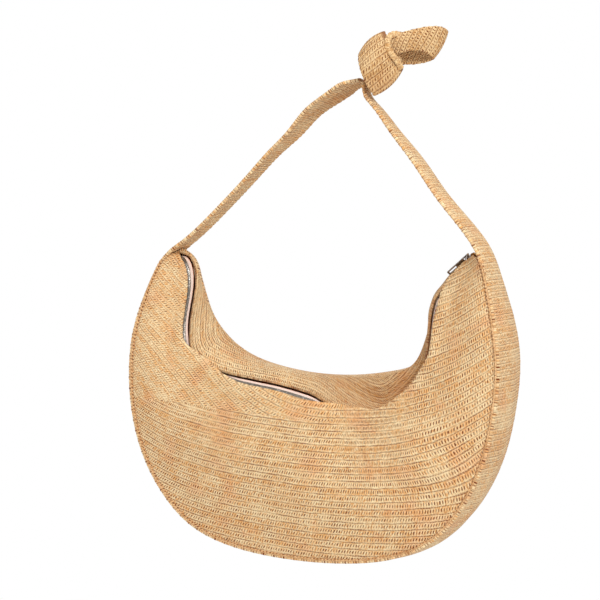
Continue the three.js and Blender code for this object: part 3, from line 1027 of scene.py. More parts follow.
def crochet_group() -> bpy.types.NodeTree:
    """Node group for crochet: from pattern coordinates to masks and a height.

    Inputs are the pattern coordinates and the openness of the stitches. Outputs are Slit,
    Groove, Tone, Fibre and Height, each from 0 to 1.

    Returns:
        The node group.
    """
    group = bpy.data.node_groups.new("crochet", "ShaderNodeTree")
    face = group.interface
    face.new_socket("Pattern", in_out="INPUT", socket_type="NodeSocketVector")
    face.new_socket("Openness", in_out="INPUT", socket_type="NodeSocketFloat")
    for name in ("Slit", "Groove", "Tone", "Fibre", "Height"):
        face.new_socket(name, in_out="OUTPUT", socket_type="NodeSocketFloat")
    g = Graph(group)
    given = g.add("NodeGroupInput")
    result = g.add("NodeGroupOutput")
    pattern = given.outputs["Pattern"]
    openness = given.outputs["Openness"]
    u, v, _ = g.parts(pattern)
    wander = g.math("SUBTRACT", g.noise(g.vector(g.math("MULTIPLY", u, 0.35), v), 1.0), 0.5)
    v_bent = g.math("MULTIPLY_ADD", wander, 0.22, v)
    row = g.math("FLOOR", v_bent)
    f = g.math("FRACT", v_bent)
    row_random = g.random(g.vector(row, 7.0))
    jitter = g.math("SUBTRACT", g.noise(g.vector(u, g.math("MULTIPLY", row, 3.1)), 0.9, 1.0), 0.5)
    lean = g.math("MULTIPLY_ADD", f, 1.05, u)
    shift = g.math("MULTIPLY_ADD", g.math("MODULO", row, 2.0), 0.5, g.math("MULTIPLY", jitter, 0.55))
    along = g.math("ADD", lean, shift)
    stitch = g.math("FLOOR", along)
    phase = g.math("FRACT", along)
    cell = g.random(g.vector(stitch, row, 3.0))
    cell_two = g.random(g.vector(stitch, row, 11.0))
    off = g.math("ABSOLUTE", g.math("SUBTRACT", phase, 0.5))
    wide = g.math("MULTIPLY_ADD", cell, 0.12, 0.19)
    narrow = g.math("DIVIDE", off, wide)
    core = g.step(narrow, 1.0, 0.25)
    low = g.step(f, 0.18, 0.36)
    high = g.step(f, 0.80, 0.58)
    window = g.math("MULTIPLY", low, high)
    depth = g.math("MULTIPLY_ADD", cell_two, 0.45, 0.60)
    slit = g.math("MULTIPLY", g.math("MULTIPLY", core, window), depth)
    patch = g.step(g.noise(pattern, 0.11, 2.0), 0.38, 0.62)
    strength = g.math("MULTIPLY", openness, g.math("MULTIPLY_ADD", patch, 0.3, 0.7))
    slit = g.math("MULTIPLY", slit, strength)
    edge = g.math("MINIMUM", f, g.math("SUBTRACT", 1.0, f))
    line = g.step(edge, 0.17, 0.03)
    run = g.step(g.noise(g.vector(g.math("MULTIPLY", u, 0.12), g.math("MULTIPLY", row, 5.3)), 1.0, 3.0),
                 0.36, 0.60)
    groove = g.math("MULTIPLY", line, g.math("MULTIPLY_ADD", run, 0.75, 0.25))
    bead = g.step(g.math("ABSOLUTE", g.math("SUBTRACT", g.math("FRACT", g.math("ADD", u, jitter)), 0.5)),
                  0.42, 0.18)
    groove = g.math("MULTIPLY", groove, g.math("MULTIPLY_ADD", bead, 0.45, 0.60))
    groove = g.math("MULTIPLY", groove, g.math("MULTIPLY_ADD", openness, 0.6, 0.4))
    strands = g.math("MULTIPLY_ADD", g.math("SUBTRACT", v, g.math("FLOOR", v)), 1.05, u)
    fine = g.noise(g.vector(g.math("MULTIPLY", strands, 4.6), g.math("MULTIPLY", v, 3.0)), 1.0, 2.0, 0.6)
    straw = g.noise(g.vector(g.math("MULTIPLY", strands, 1.6), g.math("MULTIPLY", v, 2.2)), 1.0, 2.0)
    drift = g.noise(g.vector(g.math("MULTIPLY", u, 0.16), g.math("MULTIPLY", v, 0.7)), 1.0, 2.0)
    tone = g.math("ADD", g.math("MULTIPLY", straw, 0.75), g.math("MULTIPLY", drift, 0.25))
    tone = g.math("ADD", tone, g.math("MULTIPLY", g.math("SUBTRACT", cell, 0.5), 0.10))
    tone = g.math("ADD", tone, g.math("MULTIPLY", g.math("SUBTRACT", row_random, 0.5), 0.10))
    crest = g.math("SUBTRACT", 1.0, g.math("MULTIPLY", g.math("ABSOLUTE", g.math("SUBTRACT", f, 0.9)), 6.0),
                   clamp=True)
    tone = g.math("MULTIPLY_ADD", crest, 0.10, tone)
    flank = g.math("ABSOLUTE", g.math("MULTIPLY_ADD", f, 2.0, -1.0))
    bar = g.math("SUBTRACT", 1.0, g.math("POWER", flank, 3.0))
    puff = g.math("MULTIPLY", g.math("SUBTRACT", 1.0, g.step(off, 0.10, 0.5)), -0.30)
    height = g.math("ADD", g.math("MULTIPLY", bar, 0.45), puff)
    height = g.math("ADD", height, g.math("MULTIPLY", fine, 0.30))
    height = g.math("SUBTRACT", height, g.math("MULTIPLY", slit, 0.6))
    for name, socket in (("Slit", slit), ("Groove", groove), ("Tone", tone), ("Fibre", fine),
                         ("Height", height)):
        g.feed(result.inputs[name], socket)
    return group


def fresh_material(name: str) -> tuple[bpy.types.Material, Graph, bpy.types.Node]:
    """A new node material with its graph and its Principled shader.

    Args:
        name: the material's name.

    Returns:
        The material, its graph and its shader.
    """
    material = bpy.data.materials.new(name)
    material.use_nodes = True
    g = Graph(material.node_tree)
    return material, g, material.node_tree.nodes["Principled BSDF"]


def srgb(red: int, green: int, blue: int) -> tuple:
    """An everyday 0-255 colour as linear RGBA.

    Args:
        red: from 0 to 255.
        green: from 0 to 255.
        blue: from 0 to 255.

    Returns:
        Red, green, blue and alpha, from 0 to 1.
    """
    def linear(c: float) -> float:
        """One channel from sRGB to linear."""
        return c / 12.92 if c <= 0.04045 else ((c + 0.055) / 1.055) ** 2.4
    return tuple(linear(c / 255.0) for c in (red, green, blue)) + (1.0,)


@dataclass(frozen=True)
class RaffiaFinish:
    """Crocheted raffia: pale straw stitches, with painted shade in the slits, between rows, in the needle
    holes, in the back panel's valley and beside the knot.
    """

    name: str
    light: tuple = srgb(255, 231, 184)
    middle: tuple = srgb(238, 180, 114)
    rosy: tuple = srgb(244, 172, 116)
    green: tuple = srgb(224, 180, 108)
    strand: tuple = srgb(188, 118, 60)
    dark: tuple = srgb(122, 54, 8)
    # Painted shade colour for the back panel's valley and the strap's edge beside the knot.
    wear_and_shade: tuple = srgb(172, 116, 60)
    slit_strength: float = 1.4
    groove_strength: float = 0.84
    hole_and_edge_shade_strength: float = 0.95
    painted_shade_strength: float = 0.42
    sheen: float = 0.04
    bump: float = 0.8
    bump_distance: float = 0.0011

    def material(self, group: bpy.types.NodeTree) -> bpy.types.Material:
        """Builds the material round the crochet group.

        Args:
            group: the crochet node group.

        Returns:
            The material.
        """
        material, g, shader = fresh_material(self.name)
        uv = g.add("ShaderNodeUVMap", uv_map="pattern")
        crochet = g.add("ShaderNodeGroup", node_tree=group)
        above = g.math("LESS_THAN", g.attribute("meet"), -0.0005)
        choice = g.add("ShaderNodeMix", data_type="VECTOR")
        g.feed(choice.inputs[0], above)
        g.feed(choice.inputs[4], uv.outputs[0])
        g.feed(choice.inputs[5], g.vector(g.attribute("upper_u"), g.attribute("upper_v")))
        g.feed(crochet.inputs["Pattern"], choice.outputs[1])
        g.feed(crochet.inputs["Openness"], g.attribute("openness"))
        place = g.add("ShaderNodeTexCoord").outputs["Object"]
        tone = g.step(crochet.outputs["Tone"], 0.32, 0.62)
        straw = g.blend(tone, self.middle, self.light)
        wide = g.noise(place, 28.0, 3.0)
        straw = g.blend(g.math("MULTIPLY", g.step(wide, 0.50, 0.75), 0.5), straw, self.rosy)
        other = g.noise(g.vector(g.math("MULTIPLY", wide, 3.0), crochet.outputs["Tone"]), 2.0)
        straw = g.blend(g.math("MULTIPLY", g.step(other, 0.52, 0.72), 0.55), straw, self.green)
        # Painted shade: this mark darkens the back panel's valley and one edge of the strap by the knot,
        # towards a dull brown.
        painted_shade = g.math("MULTIPLY", g.attribute("painted_shade"), self.painted_shade_strength)
        straw = g.blend(painted_shade, straw, self.wear_and_shade)
        fibre = g.math("MULTIPLY", g.step(crochet.outputs["Fibre"], 0.52, 0.36), 0.6)
        straw = g.blend(fibre, straw, self.strand)
        # Painted shade: the dark colour goes into the slits between stitches, the grooves between rows and
        # the needle holes beside seams, where shade falls.
        shade = g.math("MULTIPLY", crochet.outputs["Slit"], self.slit_strength, clamp=True)
        line = g.math("MULTIPLY", crochet.outputs["Groove"], self.groove_strength, clamp=True)
        pulse = g.math("ABSOLUTE", g.math("SUBTRACT", g.math("FRACT", g.attribute("hole_u")), 0.5))
        hole_and_edge_shade_mask = g.math("MULTIPLY", g.step(pulse, 0.34, 0.12), g.attribute("hole_and_edge_shade"))
        shade = g.math("MAXIMUM", shade, g.math("MULTIPLY", hole_and_edge_shade_mask, self.hole_and_edge_shade_strength))
        colour = g.blend(g.math("MAXIMUM", shade, line), straw, self.dark)
        g.feed(shader.inputs["Base Color"], colour)
        rough = g.math("MULTIPLY_ADD", crochet.outputs["Fibre"], 0.2, 0.62)
        g.feed(shader.inputs["Roughness"], rough)
        shader.inputs["Specular IOR Level"].default_value = 0.25
        shader.inputs["Sheen Weight"].default_value = self.sheen
        g.bump(shader, crochet.outputs["Height"], self.bump, self.bump_distance)
        return material


@dataclass(frozen=True)
class WovenFinish:
    """Plain woven cotton for the lining and the pocket."""

    name: str
    colour: tuple = srgb(214, 196, 168)
    thread: tuple = srgb(186, 166, 136)
    threads_per_metre: float = 1400.0

    def material(self) -> bpy.types.Material:
        """Builds the weave from two crossing waves.

        Returns:
            The material.
        """
        material, g, shader = fresh_material(self.name)
        place = g.add("ShaderNodeTexCoord").outputs["Object"]
        x, _, z = g.parts(place)
        warp = g.math("SINE", g.math("MULTIPLY", x, self.threads_per_metre * math.pi))
        weft = g.math("SINE", g.math("MULTIPLY", z, self.threads_per_metre * math.pi))
        weave = g.math("MULTIPLY_ADD", g.math("MULTIPLY", warp, weft), 0.5, 0.5)
        cloud = g.noise(place, 60.0, 3.0)
        tone = g.math("ADD", g.math("MULTIPLY", weave, 0.6), g.math("MULTIPLY", cloud, 0.4))
        g.feed(shader.inputs["Base Color"], g.blend(tone, self.thread, self.colour))
        g.feed(shader.inputs["Roughness"], g.math("MULTIPLY_ADD", cloud, 0.15, 0.78))
        g.bump(shader, weave, 0.3, THREAD_HEIGHT)
        return material


@dataclass(frozen=True)
class TapeFinish:
    """Zip tape in blush twill, with painted shadow where it turns down beside the back panel."""

    name: str
    colour: tuple = srgb(252, 230, 218)
    rib: tuple = srgb(228, 192, 174)
    shadow: tuple = srgb(240, 150, 104)

    def material(self) -> bpy.types.Material:
        """Twill lines along the pattern, and painted shadow on the turn, read from the attribute named fold.

        Returns:
            The material.
        """
        material, g, shader = fresh_material(self.name)
        uv = g.add("ShaderNodeUVMap", uv_map="pattern")
        along, across, _ = g.parts(uv.outputs[0])
        slant = g.math("MULTIPLY_ADD", along, 4.5, g.math("MULTIPLY", across, 5.0))
        twill = g.math("MULTIPLY_ADD", g.math("SINE", slant), 0.5, 0.5)
        cloth = g.blend(g.math("MULTIPLY", twill, 0.45), self.colour, self.rib)
        turned = g.step(g.attribute("fold"), 0.35, 0.6)
        g.feed(shader.inputs["Base Color"], g.blend(turned, cloth, self.shadow))
        g.feed(shader.inputs["Roughness"], g.math("MULTIPLY_ADD", twill, 0.1, 0.75))
        g.bump(shader, twill, 0.25, THREAD_HEIGHT)
        return material


@dataclass(frozen=True)
class MetalFinish:
    """Plated metal with fine scratches and worn, paler spots."""

    name: str
    colour: tuple = srgb(150, 142, 138)
    wear_and_shade: tuple = srgb(206, 198, 192)
    roughness: float = 0.3

    def material(self) -> bpy.types.Material:
        """Builds scratches from stretched noise in object coordinates.

        Returns:
            The material.
        """
        material, g, shader = fresh_material(self.name)
        place = g.add("ShaderNodeTexCoord").outputs["Object"]
        mapping = g.add("ShaderNodeMapping")
        g.feed(mapping.inputs["Vector"], place)
        mapping.inputs["Scale"].default_value = (900.0, 900.0, 160.0)
        mapping.inputs["Rotation"].default_value = (0.0, math.radians(45.0), 0.0)
        scratch = g.noise(mapping.outputs[0], 1.0, 4.0, 0.7)
        spot = g.step(g.noise(place, 420.0, 2.0), 0.52, 0.68)
        g.feed(shader.inputs["Base Color"], g.blend(spot, self.colour, self.wear_and_shade))
        rough = g.math("MULTIPLY_ADD", scratch, 0.25, self.roughness - 0.1)
        g.feed(shader.inputs["Roughness"], rough)
        shader.inputs["Metallic"].default_value = 1.0
        return material


# ---------------------------------------------------------------- placing pieces
def dress(piece: bpy.types.Object, material: bpy.types.Material, slot: Slot, body: Body | None,
          *nodes: str) -> bpy.types.Object:
    """Gives a piece its material, ties it to a body and hides the solids it stands for.

    Args:
        piece: the new object.
        material: its finish.
        slot: the record's slot that the finish belongs to; not used.
        body: what it moves with, or None to leave it tied to no body.
        nodes: the CAD nodes that it replaces.

    Returns:
        The same object.
    """
    piece.data.materials.clear()
    piece.data.materials.append(material)
    if body is not None:
        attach(piece, body.value)
    if nodes:
        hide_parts(*nodes)
    triangles = sum(len(p.vertices) - 2 for p in piece.data.polygons)
    LOG.info("%s: %d triangles on %s", piece.name, triangles, body.value if body else "two bodies")
    return piece


# ---------------------------------------------------------------- seams
@dataclass
class Seams:
    """The crocheted joins between the panels and the gusset: a chain of slip stitches."""

    drape: Drape
    radius: float = 1.5
    stitch: float = 4.4
    stand_off: float = 2.6
    stations: int = 1500
    sides: int = 10

    def build(self, name: str, side: int) -> bpy.types.Object:
        """One join: a round cord whose thickness pulses once a stitch, r (0.72 + 0.42 |sin|).

        Args:
            name: the piece's name.
            side: -1 at the front, 1 at the back.

        Returns:
            The mesh object.
        """
        d = self.drape
        t = np.linspace(0.012, 0.988, self.stations)
        share = d.outline_share(t)
        p = d.band.at(share)
        y = side * (d.half_depth(share) + self.stand_off)
        line = d.place(p[..., 0], y, p[..., 1])
        tangent = unit(np.gradient(line, axis=0))
        level = np.zeros_like(tangent)
        level[:, 1] = 1.0
        out = unit(np.cross(level, tangent))
        length = d.band.length * (d.tip_right - d.tip_left)
        phase = t * length / self.stitch
        pulse = self.radius * (0.72 + 0.42 * np.abs(np.sin(math.pi * phase)))
        profile = circle(1.0, self.sides)[None] * pulse[:, None, None]
        points, quads = sweep(line, out, np.cross(tangent, out), profile)
        around = np.tile(np.linspace(0.0, 1.0, self.sides, endpoint=False), self.stations)
        uv = np.stack([np.repeat(phase, self.sides), around], axis=-1)
        faces = capped(points, quads, self.sides)
        marks = {"openness": np.full(len(points), 0.9)}
        return make_object(name, points, faces, uv, marks)


# ---------------------------------------------------------------- zip
@dataclass
class Zip:
    """The zip in the mouth: tapes, teeth and stops."""

    drape: Drape
    pitch: float = 2.4
    chain_half: float = 2.3
    recess: float = 1.2
    hidden: float = 9.0
    tape_width: float = 1.2
    tape_back: float = 5.6
    tape_front: float = 0.9
    tape_thickness: float = 0.7
    stations: int = 420

    def line(self, t: Array) -> tuple[Array, Array, Array]:
        """The chain's middle, the direction across it and the direction down into the bag.

        Where the slit gapes, the chain lies against the front panel's edge; elsewhere it sits in
        the middle, deeper down.

        Args:
            t: shares along the zip.

        Returns:
            The places and the two directions, each (n, 3).
        """
        d = self.drape
        gape = d.opening(t)
        across = d.across_zip(t)
        down = unit(np.cross(self.tangent(t), across))
        down *= np.sign(np.einsum("...i,...i->...", down, d.outward(t)))[..., None]
        place = d.mouth_at(t) - across * (gape * 2.0)[..., None]
        place += down * (self.recess + self.hidden * (1.0 - gape))[..., None]
        return place, across, down

    def tangent(self, t: Array) -> Array:
        """Unit direction along the zip."""
        tan = self.drape.mouth.tangent(np.clip(t, 0.002, 0.998))
        return unit(np.stack([tan[..., 0], tan[..., 1], -tan[..., 2]], axis=-1))

    def tape(self, name: str, side: int) -> bpy.types.Object:
        """One tape: level beside the teeth, then turned down along the panel's edge.

        Args:
            name: the piece's name.
            side: -1 at the front, 1 at the back.

        Returns:
            The mesh object.
        """
        t = np.linspace(0.004, 0.996, self.stations)
        place, across, down = self.line(t)
        gape = self.drape.opening(t)
        reach = self.tape_width + (self.tape_back if side > 0 else self.tape_front) * gape
        profile = np.array([[0.0, 0.0], [0.35, 0.0], [0.7, 0.05], [0.86, 0.4], [0.93, 2.2],
                            [1.0, 6.0]])
        start = self.chain_half - 1.0
        rows = []
        for share, drop in profile:
            offset = side * (start + reach * share)
            rows.append(place + across * offset[:, None] + down * (0.5 + drop))
        top = np.stack(rows, axis=1)
        thick = self.tape_thickness
        bottom = top + down[:, None] * thick * 0.6 - across[:, None] * side * thick * 0.6
        ring = np.concatenate([top, bottom[:, ::-1]], axis=1)
        around = ring.shape[1]
        points = ring.reshape(-1, 3)
        faces = capped(points, grid_faces(len(t), around, closed=True), around)
        # The fold marks say where the tape takes its painted shadow.
        fold = np.array([0.0, 0.0, 0.15, 0.75, 1.0, 1.0])
        fold = np.concatenate([fold, fold[::-1]])
        width = np.concatenate([profile[:, 0], profile[::-1, 0]]) * 4.0
        length = self.drape.mouth.length
        uv = np.stack([np.repeat(t * length, around), np.tile(width, len(t))], axis=-1)
        return make_object(name, points, faces, uv, {"fold": np.tile(fold, len(t))})

    def teeth(self, name: str, side: int) -> bpy.types.Object:
        """One row of teeth: a small hooked block for each, every other half pitch.

        Each tooth is the same wedge, wider where it clamps the tape than at its head.

        Args:
            name: the piece's name.
            side: -1 at the front, 1 at the back.

        Returns:
            The mesh object.
        """
        length = self.drape.mouth.length
        count = int(length * 0.972 / self.pitch)
        t = 0.014 + (np.arange(count) + (0.5 if side > 0 else 0.0)) * self.pitch / length
        place, across, down = self.line(t)
        along = self.tangent(t)
        half = self.pitch * 0.36
        shape = np.array([
            [-0.5, -half * 0.75, -0.5], [-0.5, half * 0.75, -0.5], [0.9, half, -0.8],
            [0.9, -half, -0.8], [2.3, -half * 1.1, -0.75], [2.3, half * 1.1, -0.75],
            [-0.5, -half * 0.75, 0.6], [-0.5, half * 0.75, 0.6], [0.9, half, 0.9],
            [0.9, -half, 0.9], [2.3, -half * 1.1, 0.85], [2.3, half * 1.1, 0.85]])
        faces = np.array([[0, 1, 2, 3], [3, 2, 5, 4], [7, 6, 9, 8], [8, 9, 10, 11], [1, 0, 6, 7],
                          [4, 5, 11, 10], [0, 3, 9, 6], [3, 4, 10, 9], [2, 1, 7, 8], [5, 2, 8, 11]])
        local = shape[None] * np.array([side, 1.0, 1.0])
        points = place[:, None] + across[:, None] * local[..., :1]
        points = points + along[:, None] * local[..., 1:2] + down[:, None] * local[..., 2:]
        number = len(shape)
        quads = (faces[None] + np.arange(count)[:, None, None] * number).reshape(-1, 4)
        flat = points.reshape(-1, 3)
        if signed_volume(flat, quads) < 0:
            quads = quads[:, ::-1]
        piece = make_object(name, flat, quads.tolist())
        piece.data.polygons.foreach_set("use_smooth", np.zeros(len(piece.data.polygons), bool))
        bevel = piece.modifiers.new("edges", "BEVEL")
        bevel.width = 0.12 * MM
        bevel.segments = 1
        return piece

    def stop(self, name: str, t_value: float) -> bpy.types.Object:
        """A bar stop over both rows at one end of the zip.

        Args:
            name: the piece's name.
            t_value: its share along the zip.

        Returns:
            The mesh object.
        """
        t = np.array([t_value])
        place, across, down = self.line(t)
        along = self.tangent(t)
        n = 18
        a = np.linspace(-1.0, 1.0, 9)
        line = place + along * (a[:, None] * 1.3)
        swell = np.sqrt(np.clip(1.0 - (a * 0.93) ** 4, 0.02, 1.0))
        profile = circle(1.0, n)[None] * swell[:, None, None] * np.array([2.6, 1.5])
        first = np.repeat(across, len(a), axis=0)
        second = np.repeat(down, len(a), axis=0)
        points, quads = sweep(line, first, second, profile)
        return make_object(name, points, capped(points, quads, n))


def rounded_plate(outline: Array, holes: list, thickness: float, name: str,
                  bevel: float = 0.22) -> bpy.types.Object:
    """A flat plate with holes and softened edges, made from an outline in its own plane.

    Args:
        outline: (n, 2) closed outer outline.
        holes: list of (m, 2) closed outlines.
        thickness: of the plate, centred on its plane.
        name: the piece's name.
        bevel: how far the edges are rounded.

    Returns:
        A mesh object in millimetres, its plane level.
    """
    curve = bpy.data.curves.new(name + "_outline", "CURVE")
    curve.dimensions = "2D"
    curve.fill_mode = "BOTH"
    curve.extrude = thickness / 2.0 - bevel
    curve.bevel_depth = bevel
    curve.bevel_resolution = 3
    curve.offset = -bevel
    for ring in [outline] + holes:
        spline = curve.splines.new("POLY")
        spline.points.add(len(ring) - 1)
        flat = np.concatenate([ring, np.zeros((len(ring), 1)), np.ones((len(ring), 1))], axis=1)
        spline.points.foreach_set("co", flat.ravel())
        spline.use_cyclic_u = True
    holder = bpy.data.objects.new(name + "_outline", curve)
    bpy.context.scene.collection.objects.link(holder)
    bpy.context.view_layer.update()
    mesh = bpy.data.meshes.new_from_object(holder.evaluated_get(bpy.context.evaluated_depsgraph_get()))
    bpy.data.objects.remove(holder)
    bpy.data.curves.remove(curve)
    mesh.name = name
    piece = bpy.data.objects.new(name, mesh)
    bpy.context.scene.collection.objects.link(piece)
    return piece


def round_rectangle(x0: float, x1: float, half: float, radius: float, steps: int = 6) -> Array:
    """Outline of a rectangle with quarter circles at its corners.

    Args:
        x0: its left end.
        x1: its right end.
        half: half its height.
        radius: of its corners.
        steps: points in a corner.

    Returns:
        (n, 2) closed outline.
    """
    a = np.linspace(0.0, math.pi / 2.0, steps)
    corner = np.stack([np.cos(a), np.sin(a)], axis=-1) * radius
    places = [(x1 - radius, half - radius), (x0 + radius, half - radius),
              (x0 + radius, -half + radius), (x1 - radius, -half + radius)]
    parts = []
    for k, (x, y) in enumerate(places):
        c, s = math.cos(k * math.pi / 2.0), math.sin(k * math.pi / 2.0)
        parts.append(corner @ np.array([[c, s], [-s, c]]) + [x, y])
    return np.concatenate(parts)


@dataclass
class SliderSet:
    """The slider and its pull, placed by the joints that move them."""

    eye: Array
    centre: Array
    axis: Array
    pull_length: float = 29.0
    pull_half: float = 3.0
    pull_thickness: float = 1.1
    lean: float = 45.0
    roll: float = 35.0
    seat: float = 7.0

    def __post_init__(self) -> None:
        """Finds the directions along the zip, across it and out of the mouth."""
        inward = self.centre - self.eye
        inward -= self.axis * float(inward @ self.axis)
        self.up = inward / np.linalg.norm(inward)
        self.along = np.cross(self.up, self.axis)
        self.eye = self.eye - self.up * self.seat

    def put(self, piece: bpy.types.Object, origin: Array, first: Array, second: Array,
            third: Array) -> bpy.types.Object:
        """Moves a mesh so that its x, y and z lie along three directions, from an origin.

        Args:
            piece: a mesh object built at the origin.
            origin: where its origin goes, in millimetres.
            first: direction of its x.
            second: direction of its y.
            third: direction of its z.

        Returns:
            The same object.
        """
        mesh = piece.data
        co = np.empty(len(mesh.vertices) * 3, np.float32)
        mesh.vertices.foreach_get("co", co)
        local = co.reshape(-1, 3)
        world = origin + local[:, :1] * first + local[:, 1:2] * second + local[:, 2:] * third
        mesh.vertices.foreach_set("co", (world * MM).astype(np.float32).ravel())
        if np.cross(first, second) @ third < 0:
            mesh.flip_normals()
        mesh.polygons.foreach_set("use_smooth", np.ones(len(mesh.polygons), bool))
        mesh.update()
        return piece

    def pull(self) -> bpy.types.Object:
        """The pull: a long bar with a ring eye and a slot near its free end.

        Returns:
            The mesh object.
        """
        bar = round_rectangle(-1.2, self.pull_length - 1.2, self.pull_half, 1.1)
        eye = round_rectangle(0.2, 3.6, 1.45, 1.2)
        slot = round_rectangle(self.pull_length - 13.6, self.pull_length - 3.4, 1.15, 0.5)
        piece = rounded_plate(bar, [eye[::-1], slot[::-1]], self.pull_thickness, "zip_pull_bar")
        a = math.radians(self.lean)
        out = self.along * math.cos(a) + self.up * math.sin(a)
        third = np.cross(out, self.axis)
        r = math.radians(self.roll)
        wide = self.axis * math.cos(r) + third * math.sin(r)
        return self.put(piece, self.eye, out, wide, np.cross(out, wide))

    def slider(self) -> bpy.types.Object:
        """The slider: two waisted plates on a post, with an arched bridge for the pull.

        Returns:
            The mesh object.
        """
        t = np.linspace(0.0, 2.0 * math.pi, 48, endpoint=False)
        waist = 3.9 + 0.9 * np.cos(t) * 0.9 - 0.5 * np.cos(2 * t)
        outline = np.stack([5.0 * np.sign(np.cos(t)) * np.abs(np.cos(t)) ** 0.7,
                            waist * np.sign(np.sin(t)) * np.abs(np.sin(t)) ** 0.6], axis=-1)
        eye_height = 3.85
        pieces = []
        for height in (2.2, -2.2):
            plate = rounded_plate(outline, [], 1.3, "slider_plate", 0.4)
            pieces.append(self.put(plate, self.eye + self.up * (height - eye_height), self.along,
                                   self.axis, self.up))
        a = np.linspace(0.0, math.pi, 21)
        arch = np.stack([np.cos(a) * 3.4, np.sin(a) ** 0.7 * 2.9], axis=-1)
        line = self.eye + arch[:, :1] * self.along + (arch[:, 1:] + 2.4 - eye_height) * self.up
        tangent = unit(np.gradient(line, axis=0))
        side = np.repeat(self.axis[None], len(line), axis=0)
        profile = circle(1.0, 12) * np.array([1.0, 0.6])
        points, quads = sweep(line, side, np.cross(tangent, side), profile)
        pieces.append(make_object("slider_bridge", points, capped(points, quads, 12)))
        post = round_rectangle(-1.2, 3.8, 0.5, 0.45)
        block = rounded_plate(post, [], 3.6, "slider_post", 0.1)
        pieces.append(self.put(block, self.eye - self.up * eye_height, self.along, self.axis, self.up))
        return joined("zip_slider_body", pieces)


def joined(name: str, pieces: list) -> bpy.types.Object:
    """Several mesh objects made one, each shell kept whole.

    Args:
        name: the piece's name.
        pieces: the objects, which are removed.

    Returns:
        The mesh object.
    """
    points, faces, count = [], [], 0
    for piece in pieces:
        mesh = piece.data
        co = np.empty(len(mesh.vertices) * 3, np.float32)
        mesh.vertices.foreach_get("co", co)
        points.append(co.reshape(-1, 3) / MM)
        faces += [[v + count for v in p.vertices] for p in mesh.polygons]
        count += len(mesh.vertices)
        bpy.data.objects.remove(piece)
    return make_object(name, np.concatenate(points), faces)


